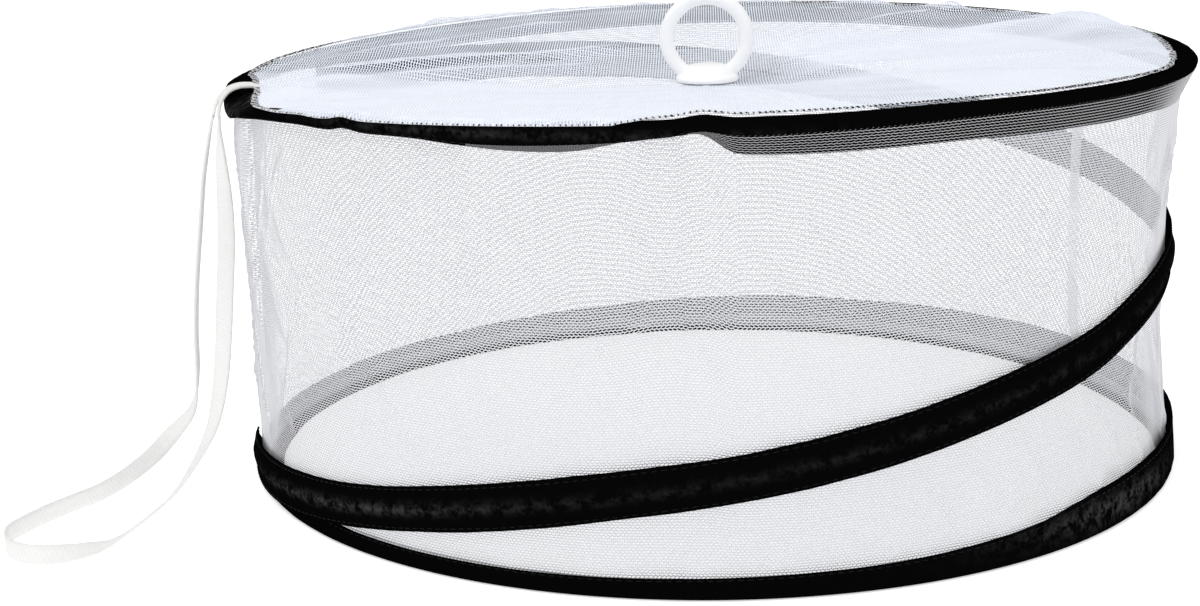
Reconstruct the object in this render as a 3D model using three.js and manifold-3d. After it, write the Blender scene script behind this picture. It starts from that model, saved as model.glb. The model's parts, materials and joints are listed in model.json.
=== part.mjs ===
// A pop-up mesh cover: a drum of white netting held open by spring-steel wire.
// One wire hoop stands on the table, one holds the top, and a rising coil joins them.
// Each wire runs inside a flat fabric sleeve. The top panel carries a lifting ring on a
// swivel foot, and a flat tape loop hangs from the top hoop.
// Millimetres, +Z up. The origin is the centre of the lower hoop, on the table.
// Angles are in degrees, counter-clockwise from +X as seen from above.
import * as THREE from 'three';
import { mergeVertices } from 'three/addons/utils/BufferGeometryUtils.js';
import Module from 'manifold-3d';

// ---- Driving dimensions ----
const LOWER_HOOP_RADIUS = 172.6;
const UPPER_HOOP_RADIUS = 175.5;
const RIM_HEIGHT = 151.5;
const RIM_TILT = 2.5;
const RIM_WARP = 2;
const SLEEVE_WIDTH = 16;
const UPPER_SLEEVE_WIDTH = 11;
const ROLLED_SLEEVE_WIDTH = 7;
const SLEEVE_HALF_THICKNESS = 2.4;
const SLEEVE_EDGE_HALF = 0.8;
const SLEEVE_CREST_HALF = 1.6;
const CHANNEL_HALF = 1.9;
const CHANNEL_HALF_HEIGHT = 2.4;
const CHANNEL_FLAT_HALF = 1.3;
const WIRE_RADIUS = 0.8;
const GAP = 0.3;

const STEPS_PER_TURN = 48;
const STEP_DEG = 360 / STEPS_PER_TURN;
const JOIN_SLIT_DEG = 0.1;
const LOWER_JOIN_DEG = 13.5 * STEP_DEG;
const UPPER_JOIN_DEG = 9.5 * STEP_DEG;

const HELIX_START_DEG = 187.5;
const HELIX_END_DEG = 517.5;
const HELIX_OUTSIDE_RADIUS = 177.5;
const HELIX_INSIDE_RADIUS = 170.4;
const HELIX_MOVE_IN_DEG = [225, 300];
const HELIX_HEIGHTS = [
  [187.5, 8.4], [202.5, 9.4], [223, 15.4], [245, 26], [275, 41], [307, 58.7], [328, 71.5],
  [360, 85], [402, 103], [440, 119], [470, 128.5], [500, 133], [517.5, 134.5],
];

const WALL_OUTER_RADIUS = 167.7;
const WALL_THICKNESS = 0.8;
const WALL_FOOT = 0.4;
const WALL_HEIGHT = 149.4;
const SEAM_DEG = 3.5 * STEP_DEG;
const SEAM_WIDTH = 9;
const SEAM_THICKNESS = 0.8;
const SEAM_FOOT = 2.5;
const SEAM_TOP = 145;

const PANEL_RADIUS = 177;
const PANEL_RIM_RADIUS = 172.5;
const PANEL_THICKNESS = 0.8;
const PANEL_SAG = 12.2;
const PANEL_SAG_POWER = 1.6;
const PANEL_FLAT_RADIUS = 14;
const PANEL_HOLE_RADIUS = 2.8;
const PANEL_RINGS = [PANEL_HOLE_RADIUS, PANEL_FLAT_RADIUS, 60, 115, 158, PANEL_RIM_RADIUS, PANEL_RADIUS];
const PANEL_WARP_FROM = 20;
const PANEL_WARP_TO = 168;

const RING_OUTER_RADIUS = 17.7;
const RING_WIRE_RADIUS = 2.7;
const RING_CENTRE_HEIGHT = 156.9;
const FOOT_RADIUS = 12;
const FOOT_HEIGHT = 6.2;
const FOOT_TOP_RADIUS = 8;
const FOOT_EDGE_HEIGHT = 1.6;
const FOOT_SHOULDER_HEIGHT = 3.4;
const RIVET_BORE_DEPTH = 4;
const RIVET_SHANK_RADIUS = 2.2;
const RIVET_BORE_RADIUS = 2.5;
const RIVET_HEAD_RADIUS = 4.5;
const RIVET_HEAD_THICKNESS = 1.6;
const RIVET_LENGTH = 7.2;
const WASHER_RADIUS = 10;
const WASHER_THICKNESS = 1.8;
const WASHER_CHAMFER = 0.6;
const RIVET_CHAMFER = 0.8;
const WASHER_SLACK = 0.1;

const FERRULE_RADIUS = 1.55;
const FERRULE_BORE_RADIUS = 1.1;
const FERRULE_LENGTH = 12;
const END_CAP_LENGTH = 8;
const END_CAP_FLOOR = 1;
const COIL_WIRE_INSET_DEG = 2;

const STRAP_DEG = 192.5;
const STRAP_RADIUS = 2.5;
const STRAP_STEPS = 76;
const STRAP_ROUTE = [
  [-180.7, -36.3, 137], [-181.8, -36, 134], [-184.5, -36, 121.8], [-186.2, -36.3, 112.6],
  [-188.6, -36.8, 93.9], [-191, -37.5, 75], [-192.6, -38, 55.9], [-193, -39.3, 38.9],
  [-195.5, -39.8, 26], [-203.6, -41.7, 16.5], [-210.4, -50.8, 10], [-217.2, -62.3, 6.2],
  [-223.8, -72.8, 4.2], [-230.5, -82.1, 3.6], [-236.6, -92.2, 3.4], [-241.9, -104.6, 3.3],
  [-244.4, -115.6, 3.3], [-240.5, -127.6, 3.3], [-232.5, -134.4, 3.3], [-223.8, -135.4, 3.2],
  [-213.5, -130.5, 2.8], [-204.5, -121.6, 3.6], [-194.8, -113.2, 9], [-187.2, -106.6, 15],
  [-179.6, -100.4, 26], [-174.9, -95.5, 36], [-173, -88, 48.5], [-173.2, -78, 61.5],
  [-174, -67, 77], [-174.6, -57, 92.3], [-175.6, -50.5, 105.8], [-177, -45.5, 121.5],
  [-177.6, -42.8, 132], [-177.5, -41.9, 137],
];
const ANCHOR_WIDTH = 14;
const ANCHOR_THICKNESS = 1.4;
const ANCHOR_INNER_RADIUS = 169;
const ANCHOR_DROP = 8.6;
const ANCHOR_SPREAD = 4.9;
const ANCHOR_REST = 0.5;

// ---- Materials ----
const material = (color, roughness, metalness = 0) =>
  new THREE.MeshStandardMaterial({ color, roughness, metalness });
const blackFabric = material(0x0b0b0c, 0.6);
const netting = material(0xe9ebf2, 0.85);
const springSteel = material(0x8d9094, 0.35, 1);
const crimpSteel = material(0xb5b8bb, 0.4, 1);
const whitePlastic = material(0xfafbfb, 0.3);
const whiteTape = material(0xf3f3f1, 0.8);

// ---- Helpers ----
const rad = (deg) => THREE.MathUtils.degToRad(deg);

// The hoops warp a little under the coil's pull: the rim is low at -X and high at +Y and -Y.
const rimLift = (deg) => RIM_TILT * Math.cos(rad(deg)) - RIM_WARP * Math.cos(rad(2 * deg));

// Heights between the listed points of a curve, smoothed where the slope changes.
function heightCurve(points) {
  const spline = new THREE.SplineCurve(points.map(([x, y]) => new THREE.Vector2(x, y)));
  const table = spline.getPoints(400);
  return (at) => {
    const next = table.findIndex((p) => p.x >= at - 1e-6);
    const [a, b] = [table[Math.max(next - 1, 0)], table[next]];
    return a === b ? b.y : THREE.MathUtils.mapLinear(at, a.x, b.x, a.y, b.y);
  };
}
const helixHeight = heightCurve(HELIX_HEIGHTS);

function helixRadius(deg) {
  const share = THREE.MathUtils.smoothstep(deg, ...HELIX_MOVE_IN_DEG);
  return THREE.MathUtils.lerp(HELIX_OUTSIDE_RADIUS, HELIX_INSIDE_RADIUS, share);
}

// A point at this angle on the polygon whose corners lie on a circle of this radius.
function onPolygon(radius, deg, z) {
  const middle = (Math.floor(deg / STEP_DEG) + 0.5) * STEP_DEG;
  const r = (radius * Math.cos(rad(STEP_DEG / 2))) / Math.cos(rad(deg - middle));
  return [r * Math.cos(rad(deg)), r * Math.sin(rad(deg)), z];
}

function movePoints(geometry, place) {
  const at = geometry.attributes.position;
  for (let i = 0; i < at.count; i += 1) {
    at.setXYZ(i, ...place(at.getX(i), at.getY(i), at.getZ(i)));
  }
  geometry.deleteAttribute('normal');
  geometry.deleteAttribute('uv');
  const merged = mergeVertices(geometry, 1e-4);
  merged.computeVertexNormals();
  return merged;
}

// A section (x = height, y = outwards) run round the drum from one angle to another.
// Its corners fall on the drum's common grid of angles, so nested pieces keep their gaps.
function wrapBar(section, fromDeg, toDeg, place) {
  const first = Math.ceil(fromDeg / STEP_DEG + 1e-9);
  const last = Math.floor(toDeg / STEP_DEG - 1e-9);
  const angles = [fromDeg];
  for (let k = first; k <= last; k += 1) {
    if (k * STEP_DEG > fromDeg && k * STEP_DEG < toDeg) angles.push(k * STEP_DEG);
  }
  angles.push(toDeg);
  const steps = angles.length - 1;
  const bar = new THREE.ExtrudeGeometry(section, { depth: steps, steps, bevelEnabled: false });
  return movePoints(bar, (height, out, along) => place(angles[Math.round(along)], out, height));
}

const shapeOf = (points) => new THREE.Shape(points.map(([x, y]) => new THREE.Vector2(x, y)));

// A flat sleeve: thin at its two edges and swelling round the channel that holds the wire.
function sleeveSection(low, wireAt, high) {
  const [edge, full, channel] = [SLEEVE_EDGE_HALF, SLEEVE_HALF_THICKNESS, CHANNEL_HALF];
  const [crest, tall, flat] = [SLEEVE_CREST_HALF, CHANNEL_HALF_HEIGHT, CHANNEL_FLAT_HALF];
  const section = shapeOf([
    [low, -edge], [wireAt - crest, -full], [wireAt + crest, -full], [high, -edge],
    [high, edge], [wireAt + crest, full], [wireAt - crest, full], [low, edge],
  ]);
  const hole = shapeOf([
    [wireAt - tall, 0], [wireAt - flat, -channel], [wireAt + flat, -channel],
    [wireAt + tall, 0], [wireAt + flat, channel], [wireAt - flat, channel],
  ]);
  section.holes.push(hole);
  return section;
}

function wireSection(wireAt) {
  const circle = new THREE.Shape();
  circle.absarc(wireAt, 0, WIRE_RADIUS, 0, 2 * Math.PI);
  return shapeOf(circle.getSpacedPoints(6).slice(0, 6).map((p) => [p.x, p.y]));
}

// A round part turned about its own Z axis from a closed profile of [radius, height].
function turned(profile, segments) {
  const closed = [...profile, profile[0]].map(([r, z]) => new THREE.Vector2(r, z));
  const geometry = new THREE.LatheGeometry(closed, segments);
  return movePoints(geometry, (x, y, z) => [z, x, y]);
}

function named(name, geometry, look) {
  const mesh = new THREE.Mesh(geometry, look);
  mesh.name = name;
  return mesh;
}

// ---- Lower hoop ----
const LOWER_WIRE_HEIGHT = 3.9;
const LOWER_CHANNEL_TOP = LOWER_WIRE_HEIGHT + CHANNEL_HALF_HEIGHT;
const ROLLED_DEG = 238;
const ROLLED_FROM_COS = 0.05;
const ROLLED_FULL_COS = 0.75;

// The lower sleeve stands up at the back and right, and is rolled under at the front left.
function lowerSleeveTop(deg) {
  const near = Math.cos(rad(deg - ROLLED_DEG));
  const rolled = THREE.MathUtils.smoothstep(near, ROLLED_FROM_COS, ROLLED_FULL_COS);
  return THREE.MathUtils.lerp(SLEEVE_WIDTH, ROLLED_SLEEVE_WIDTH, rolled);
}

function lowerHoop() {
  const spread = (height, deg) => {
    if (height <= LOWER_CHANNEL_TOP) return height;
    const share = (height - LOWER_CHANNEL_TOP) / (SLEEVE_WIDTH - LOWER_CHANNEL_TOP);
    return THREE.MathUtils.lerp(LOWER_CHANNEL_TOP, lowerSleeveTop(deg), share);
  };
  const place = (deg, out, height) =>
    onPolygon(LOWER_HOOP_RADIUS + out, deg, spread(height, deg));
  const [from, to] = [LOWER_JOIN_DEG + JOIN_SLIT_DEG, LOWER_JOIN_DEG + 360 - JOIN_SLIT_DEG];
  const section = sleeveSection(0, LOWER_WIRE_HEIGHT, SLEEVE_WIDTH);
  return [
    named('lower_hoop_sleeve', wrapBar(section, from, to, place), blackFabric),
    named('lower_hoop_wire', wrapBar(wireSection(LOWER_WIRE_HEIGHT), from, to, place), springSteel),
    ferrule('lower_hoop_ferrule', LOWER_HOOP_RADIUS, LOWER_JOIN_DEG, LOWER_WIRE_HEIGHT),
  ];
}

// ---- Upper hoop ----
const UPPER_WIRE_DROP = 4.6;

function upperHoop() {
  const place = (deg, out, height) =>
    onPolygon(UPPER_HOOP_RADIUS + out, deg, RIM_HEIGHT + rimLift(deg) + height);
  const [from, to] = [UPPER_JOIN_DEG + JOIN_SLIT_DEG, UPPER_JOIN_DEG + 360 - JOIN_SLIT_DEG];
  const section = sleeveSection(-UPPER_SLEEVE_WIDTH, -UPPER_WIRE_DROP, 0);
  const wireHeight = RIM_HEIGHT - UPPER_WIRE_DROP + rimLift(UPPER_JOIN_DEG);
  return [
    named('upper_hoop_sleeve', wrapBar(section, from, to, place), blackFabric),
    named('upper_hoop_wire', wrapBar(wireSection(-UPPER_WIRE_DROP), from, to, place), springSteel),
    ferrule('upper_hoop_ferrule', UPPER_HOOP_RADIUS, UPPER_JOIN_DEG, wireHeight),
  ];
}

// ---- Rising coil between the hoops ----
function helix() {
  const place = (deg, out, height) =>
    onPolygon(helixRadius(deg) + out, deg, helixHeight(deg) + height);
  const sleeve = wrapBar(
    sleeveSection(-SLEEVE_WIDTH / 2, 0, SLEEVE_WIDTH / 2), HELIX_START_DEG, HELIX_END_DEG, place,
  );
  const [wireFrom, wireTo] = [HELIX_START_DEG + COIL_WIRE_INSET_DEG, HELIX_END_DEG - COIL_WIRE_INSET_DEG];
  const wire = wrapBar(wireSection(0), wireFrom, wireTo, place);
  return [
    named('coil_sleeve', sleeve, blackFabric),
    named('coil_wire', wire, springSteel),
    endCap('coil_lower_end_cap', HELIX_START_DEG, 1),
    endCap('coil_upper_end_cap', HELIX_END_DEG, -1),
  ];
}

// ---- Crimped metal pieces on the wire ----
// A tube that holds a hoop's two wire ends together, centred on one flat of the polygon.
function ferrule(name, hoopRadius, deg, height) {
  const half = FERRULE_LENGTH / 2;
  const tube = turned([
    [FERRULE_BORE_RADIUS, -half], [FERRULE_RADIUS, -half],
    [FERRULE_RADIUS, half], [FERRULE_BORE_RADIUS, half],
  ], 12);
  const mesh = named(name, tube, crimpSteel);
  mesh.rotation.set(Math.PI / 2, rad(deg), 0, 'ZXY');
  mesh.position.set(...onPolygon(hoopRadius, deg, height));
  return mesh;
}

// A cup over one end of the coil's wire, so that it can't work through the sleeve.
function endCap(name, endDeg, way) {
  const point = (deg) => new THREE.Vector3(...onPolygon(helixRadius(deg), deg, helixHeight(deg)));
  const wireEnd = point(endDeg + way * COIL_WIRE_INSET_DEG);
  const along = point(endDeg + way * STEP_DEG).sub(wireEnd).normalize();
  const cup = turned([
    [0, 0], [FERRULE_RADIUS, 0], [FERRULE_RADIUS, END_CAP_LENGTH],
    [FERRULE_BORE_RADIUS, END_CAP_LENGTH], [FERRULE_BORE_RADIUS, END_CAP_FLOOR], [0, END_CAP_FLOOR],
  ], 12);
  const mesh = named(name, cup, crimpSteel);
  mesh.quaternion.setFromUnitVectors(new THREE.Vector3(0, 0, 1), along);
  mesh.position.copy(wireEnd).addScaledVector(along, -END_CAP_FLOOR - GAP);
  return mesh;
}

// ---- Netting ----
function wall() {
  const inner = WALL_OUTER_RADIUS - WALL_THICKNESS;
  const tube = turned([
    [inner, WALL_FOOT], [WALL_OUTER_RADIUS, WALL_FOOT],
    [WALL_OUTER_RADIUS, WALL_HEIGHT], [inner, WALL_HEIGHT],
  ], STEPS_PER_TURN);
  return named('side_netting', movePoints(tube, followRim(WALL_HEIGHT)), netting);
}

// Raises points in proportion to their height, so that a tube ends along the warped rim.
function followRim(fullHeight) {
  return (x, y, z) => {
    const deg = THREE.MathUtils.radToDeg(Math.atan2(y, x));
    return [x, y, z + (rimLift(deg) * z) / fullHeight];
  };
}

// The wall is one strip of netting, closed by an upright seam with a folded tape inside it.
function wallSeam() {
  const face = (WALL_OUTER_RADIUS - WALL_THICKNESS) * Math.cos(rad(STEP_DEG / 2)) - GAP;
  const height = SEAM_TOP - SEAM_FOOT;
  const tape = new THREE.BoxGeometry(SEAM_THICKNESS, SEAM_WIDTH, height);
  const mesh = named('side_seam_tape', tape, netting);
  const r = face - SEAM_THICKNESS / 2;
  mesh.rotation.z = rad(SEAM_DEG);
  mesh.position.set(r * Math.cos(rad(SEAM_DEG)), r * Math.sin(rad(SEAM_DEG)), SEAM_FOOT + height / 2);
  return mesh;
}

// The top panel lies over the rim and sags to a small flat under the ring's foot.
function panelTop(r) {
  const inwards = (PANEL_RADIUS - Math.max(r, PANEL_FLAT_RADIUS)) / (PANEL_RADIUS - PANEL_FLAT_RADIUS);
  return RIM_HEIGHT + GAP + PANEL_THICKNESS - PANEL_SAG * inwards ** PANEL_SAG_POWER;
}
const PANEL_MIDDLE = panelTop(0);

function topPanel() {
  const height = (r) => panelTop(r < PANEL_RIM_RADIUS ? r : PANEL_RADIUS);
  const top = PANEL_RINGS.map((r) => [r, height(r)]);
  const under = top.map(([r, z]) => [r, z - PANEL_THICKNESS]).reverse();
  const disc = turned([...top, ...under].reverse(), STEPS_PER_TURN);
  const settle = (x, y, z) => {
    const deg = THREE.MathUtils.radToDeg(Math.atan2(y, x));
    const share = THREE.MathUtils.smoothstep(Math.hypot(x, y), PANEL_WARP_FROM, PANEL_WARP_TO);
    return [x, y, z + rimLift(deg) * share];
  };
  return named('top_netting_panel', movePoints(disc, settle), netting);
}

// ---- Lifting ring, with its washer and rivet under the netting ----
const wasm = await Module();
wasm.setup();

function solidOf(geometry) {
  const bare = geometry.clone();
  bare.deleteAttribute('normal');
  bare.deleteAttribute('uv');
  const whole = mergeVertices(bare, 1e-4);
  return new wasm.Manifold(new wasm.Mesh({
    numProp: 3,
    vertProperties: new Float32Array(whole.attributes.position.array),
    triVerts: new Uint32Array(whole.index.array),
  }));
}

function geometryOf(solid) {
  const mesh = solid.getMesh();
  const geometry = new THREE.BufferGeometry();
  geometry.setAttribute('position', new THREE.BufferAttribute(mesh.vertProperties, 3));
  geometry.setIndex(new THREE.BufferAttribute(mesh.triVerts, 1));
  geometry.computeVertexNormals();
  return geometry;
}

function liftingRing() {
  const footBase = PANEL_MIDDLE + GAP;
  const boreTop = footBase + RIVET_BORE_DEPTH;
  const boreBase = footBase - FOOT_HEIGHT;
  const foot = turned([
    [0, footBase], [FOOT_RADIUS, footBase], [FOOT_RADIUS, footBase + FOOT_EDGE_HEIGHT],
    [FOOT_RADIUS - FOOT_EDGE_HEIGHT, footBase + FOOT_SHOULDER_HEIGHT],
    [FOOT_TOP_RADIUS, footBase + FOOT_HEIGHT], [0, footBase + FOOT_HEIGHT],
  ], 28);
  const loop = new THREE.TorusGeometry(RING_OUTER_RADIUS - RING_WIRE_RADIUS, RING_WIRE_RADIUS, 12, 36);
  loop.rotateX(Math.PI / 2);
  loop.translate(0, 0, RING_CENTRE_HEIGHT);
  const bore = turned([
    [0, boreBase], [RIVET_BORE_RADIUS, boreBase], [RIVET_BORE_RADIUS, boreTop], [0, boreTop],
  ], 20);
  const width = 2 * RING_OUTER_RADIUS;
  const below = new THREE.BoxGeometry(width, width, width);
  below.translate(0, 0, footBase - width / 2);
  const ring = solidOf(foot).add(solidOf(loop)).subtract(solidOf(bore)).subtract(solidOf(below));
  return named('lifting_ring', geometryOf(ring), whitePlastic);
}

function washerAndRivet() {
  const washerTop = PANEL_MIDDLE - PANEL_THICKNESS - WASHER_SLACK - GAP;
  const washerBase = washerTop - WASHER_THICKNESS;
  const washer = turned([
    [RIVET_BORE_RADIUS, washerBase], [WASHER_RADIUS - WASHER_CHAMFER, washerBase],
    [WASHER_RADIUS, washerBase + WASHER_CHAMFER], [WASHER_RADIUS, washerTop],
    [RIVET_BORE_RADIUS, washerTop],
  ], 24);
  const headTop = washerBase - GAP;
  const headBase = headTop - RIVET_HEAD_THICKNESS;
  const shankTop = headTop + RIVET_LENGTH;
  const rivet = turned([
    [0, headBase], [RIVET_HEAD_RADIUS - RIVET_CHAMFER, headBase],
    [RIVET_HEAD_RADIUS, headBase + RIVET_CHAMFER],
    [RIVET_HEAD_RADIUS, headTop], [RIVET_SHANK_RADIUS, headTop],
    [RIVET_SHANK_RADIUS, shankTop], [0, shankTop],
  ], 20);
  return [
    named('ring_washer', washer, whitePlastic),
    named('ring_rivet', rivet, whitePlastic),
  ];
}

// ---- Hanging tape loop ----
// The loop's two ends are sewn to a tab that is folded over the rim from the inside.
function strapAnchor() {
  const face = UPPER_HOOP_RADIUS + SLEEVE_HALF_THICKNESS + GAP;
  const rim = RIM_HEIGHT + rimLift(STRAP_DEG);
  const top = rim + PANEL_THICKNESS + 2 * GAP + ANCHOR_REST;
  const [low, inner, t] = [rim - ANCHOR_DROP, ANCHOR_INNER_RADIUS, ANCHOR_THICKNESS];
  const profile = shapeOf([
    [low, face + ANCHOR_SPREAD], [rim - 2, face + 1], [top, face - 1], [top, inner],
    [top + t, inner], [top + t, face], [rim - 1, face + 1 + t], [low, face + ANCHOR_SPREAD + t],
  ]);
  const tab = new THREE.ExtrudeGeometry(profile, { depth: ANCHOR_WIDTH, bevelEnabled: false });
  const geometry = movePoints(tab, (height, out, along) => [out, along - ANCHOR_WIDTH / 2, height]);
  const mesh = named('strap_anchor', geometry, whiteTape);
  mesh.rotation.z = rad(STRAP_DEG);
  return mesh;
}

function strapLoop() {
  const route = STRAP_ROUTE.map(([x, y, z]) => new THREE.Vector3(x, y, z));
  const path = new THREE.CatmullRomCurve3(route, false, 'centripetal');
  const circle = new THREE.Shape();
  circle.absarc(0, 0, STRAP_RADIUS, 0, 2 * Math.PI);
  const section = shapeOf(circle.getSpacedPoints(8).slice(0, 8).map((p) => [p.x, p.y]));
  const settings = { steps: STRAP_STEPS, extrudePath: path, bevelEnabled: false };
  return named('strap_loop', new THREE.ExtrudeGeometry(section, settings), whiteTape);
}

const cover = new THREE.Group();
cover.add(
  ...lowerHoop(), ...helix(), wall(), wallSeam(),
  ...upperHoop(), topPanel(), liftingRing(), ...washerAndRivet(),
  strapAnchor(), strapLoop(),
);

export default cover;
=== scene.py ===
"""A pop-up mesh cover: white netting on black-sleeved spring wire, with a lifting ring and a tape loop."""

import json
import logging
import math
from bisect import bisect_right
from collections.abc import Callable, Sequence
from dataclasses import dataclass, field
from enum import Enum
from functools import cached_property

import bmesh
import bpy
from mathutils import Matrix, Vector, noise
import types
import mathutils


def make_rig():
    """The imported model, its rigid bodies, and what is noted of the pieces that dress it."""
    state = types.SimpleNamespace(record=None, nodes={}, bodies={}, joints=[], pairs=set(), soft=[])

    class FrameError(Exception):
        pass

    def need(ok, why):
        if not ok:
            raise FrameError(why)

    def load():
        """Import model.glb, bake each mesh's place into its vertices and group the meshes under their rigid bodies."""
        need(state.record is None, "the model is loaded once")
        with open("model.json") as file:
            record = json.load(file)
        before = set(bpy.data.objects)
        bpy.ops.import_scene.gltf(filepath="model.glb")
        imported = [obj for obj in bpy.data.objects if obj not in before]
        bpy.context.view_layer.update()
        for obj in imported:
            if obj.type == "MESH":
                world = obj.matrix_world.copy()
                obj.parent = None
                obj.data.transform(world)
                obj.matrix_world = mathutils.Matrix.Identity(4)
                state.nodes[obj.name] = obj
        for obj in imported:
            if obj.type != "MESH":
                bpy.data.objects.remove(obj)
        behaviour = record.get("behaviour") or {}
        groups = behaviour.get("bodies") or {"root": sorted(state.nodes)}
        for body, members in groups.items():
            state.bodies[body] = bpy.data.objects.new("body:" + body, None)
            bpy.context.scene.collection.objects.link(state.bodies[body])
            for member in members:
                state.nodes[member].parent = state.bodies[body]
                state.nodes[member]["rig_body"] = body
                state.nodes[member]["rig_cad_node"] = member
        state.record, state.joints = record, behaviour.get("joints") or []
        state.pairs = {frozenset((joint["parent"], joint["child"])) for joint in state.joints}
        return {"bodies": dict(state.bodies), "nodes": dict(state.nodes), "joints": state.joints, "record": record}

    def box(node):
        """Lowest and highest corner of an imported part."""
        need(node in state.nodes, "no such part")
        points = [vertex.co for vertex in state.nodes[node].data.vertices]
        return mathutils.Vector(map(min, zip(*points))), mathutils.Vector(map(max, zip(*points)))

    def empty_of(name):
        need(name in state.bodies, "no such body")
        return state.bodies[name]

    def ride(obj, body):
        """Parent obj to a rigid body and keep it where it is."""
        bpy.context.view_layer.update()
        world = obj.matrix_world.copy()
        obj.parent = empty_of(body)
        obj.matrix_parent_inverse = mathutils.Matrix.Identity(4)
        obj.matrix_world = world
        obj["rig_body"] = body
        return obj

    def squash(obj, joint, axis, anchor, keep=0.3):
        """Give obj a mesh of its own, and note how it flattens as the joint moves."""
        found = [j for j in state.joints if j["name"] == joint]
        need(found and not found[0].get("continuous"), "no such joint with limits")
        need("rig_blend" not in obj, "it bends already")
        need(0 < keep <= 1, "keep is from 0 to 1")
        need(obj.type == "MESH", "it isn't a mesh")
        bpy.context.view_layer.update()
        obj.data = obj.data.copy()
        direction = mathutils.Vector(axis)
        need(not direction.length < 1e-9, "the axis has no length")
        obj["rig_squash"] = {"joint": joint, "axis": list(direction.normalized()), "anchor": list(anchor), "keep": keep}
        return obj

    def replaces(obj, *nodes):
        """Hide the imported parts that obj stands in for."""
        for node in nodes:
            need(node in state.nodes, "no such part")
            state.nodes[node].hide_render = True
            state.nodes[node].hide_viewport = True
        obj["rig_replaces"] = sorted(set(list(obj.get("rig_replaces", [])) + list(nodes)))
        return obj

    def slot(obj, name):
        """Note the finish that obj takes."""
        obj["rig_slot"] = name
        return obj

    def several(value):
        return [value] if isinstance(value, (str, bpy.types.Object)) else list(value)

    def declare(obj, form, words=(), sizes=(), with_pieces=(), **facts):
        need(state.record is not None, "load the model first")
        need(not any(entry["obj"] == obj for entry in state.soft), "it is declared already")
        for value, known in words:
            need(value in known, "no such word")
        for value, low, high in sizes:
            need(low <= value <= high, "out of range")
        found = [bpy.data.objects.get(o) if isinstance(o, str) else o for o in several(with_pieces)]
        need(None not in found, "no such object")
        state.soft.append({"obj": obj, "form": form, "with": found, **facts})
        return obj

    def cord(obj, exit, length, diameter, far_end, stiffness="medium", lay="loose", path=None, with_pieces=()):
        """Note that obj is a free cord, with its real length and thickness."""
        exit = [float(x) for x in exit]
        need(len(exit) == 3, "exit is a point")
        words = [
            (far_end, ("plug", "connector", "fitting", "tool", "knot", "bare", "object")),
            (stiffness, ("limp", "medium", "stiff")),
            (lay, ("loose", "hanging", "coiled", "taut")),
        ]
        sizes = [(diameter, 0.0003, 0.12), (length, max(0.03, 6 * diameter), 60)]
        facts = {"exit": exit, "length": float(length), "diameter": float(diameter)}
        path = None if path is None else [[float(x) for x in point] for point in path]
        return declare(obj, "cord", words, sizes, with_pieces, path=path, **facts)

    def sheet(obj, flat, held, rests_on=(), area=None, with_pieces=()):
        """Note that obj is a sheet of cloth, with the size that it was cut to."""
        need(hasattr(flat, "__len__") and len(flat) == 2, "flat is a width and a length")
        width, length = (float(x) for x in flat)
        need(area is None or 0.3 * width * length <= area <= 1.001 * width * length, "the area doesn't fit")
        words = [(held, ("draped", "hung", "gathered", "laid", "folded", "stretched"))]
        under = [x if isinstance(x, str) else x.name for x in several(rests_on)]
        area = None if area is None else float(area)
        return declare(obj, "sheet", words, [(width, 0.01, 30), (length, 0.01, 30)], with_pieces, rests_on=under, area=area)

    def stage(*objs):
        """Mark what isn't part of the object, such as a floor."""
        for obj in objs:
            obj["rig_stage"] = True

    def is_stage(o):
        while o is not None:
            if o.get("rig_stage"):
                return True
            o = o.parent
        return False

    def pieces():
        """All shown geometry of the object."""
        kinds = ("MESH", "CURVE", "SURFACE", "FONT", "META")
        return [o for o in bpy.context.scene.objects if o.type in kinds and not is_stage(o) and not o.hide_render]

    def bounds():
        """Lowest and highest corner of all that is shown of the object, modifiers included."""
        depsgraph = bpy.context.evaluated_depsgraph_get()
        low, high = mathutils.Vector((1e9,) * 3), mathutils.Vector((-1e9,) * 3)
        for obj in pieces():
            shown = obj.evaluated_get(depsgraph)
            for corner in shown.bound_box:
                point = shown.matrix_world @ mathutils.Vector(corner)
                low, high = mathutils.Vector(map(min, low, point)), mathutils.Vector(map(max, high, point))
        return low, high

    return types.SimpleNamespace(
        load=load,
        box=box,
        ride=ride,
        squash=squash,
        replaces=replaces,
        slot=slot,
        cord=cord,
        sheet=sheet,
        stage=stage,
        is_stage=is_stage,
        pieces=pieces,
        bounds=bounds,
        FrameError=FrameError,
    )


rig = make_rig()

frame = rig.load()
CAD_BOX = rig.bounds()

LOG = logging.getLogger("mesh_cover")
MM = 0.001
# How tightly a sleeve's tape bends over its wire, in millimetres.
FOLD_BEND = 1.7
Point = tuple[float, float, float]


class Body(Enum):
    """The rigid bodies that a piece can ride on."""

    BASE = "base"
    UPPER = "upper_hoop"
    RING = "ring"


class Slot(Enum):
    """The record's material slots."""

    SLEEVE = "black_sleeve_fabric"
    SPRING = "spring_steel"
    CRIMP = "crimp_steel"
    NETTING = "white_netting"
    PLASTIC = "white_plastic"
    TAPE = "white_tape"


# ---------------------------------------------------------------- numbers and curves


def smoothstep(low: float, high: float, value: float) -> float:
    """0 below low, 1 above high, and a smooth rise between."""
    share = min(max((value - low) / (high - low), 0.0), 1.0)
    return share * share * (3 - 2 * share)


def mix(a: float, b: float, share: float) -> float:
    """The value that share of the way from a to b."""
    return a + (b - a) * share


def bell(value: float, middle: float, width: float) -> float:
    """1 at the middle, falling smoothly to nothing within about two widths."""
    return math.exp(-(((value - middle) / width) ** 2))


def polar(radius: float, deg: float, height: float) -> Point:
    """A point in millimetres from its radius, angle and height."""
    turn = math.radians(deg)
    return radius * math.cos(turn), radius * math.sin(turn), height


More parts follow.
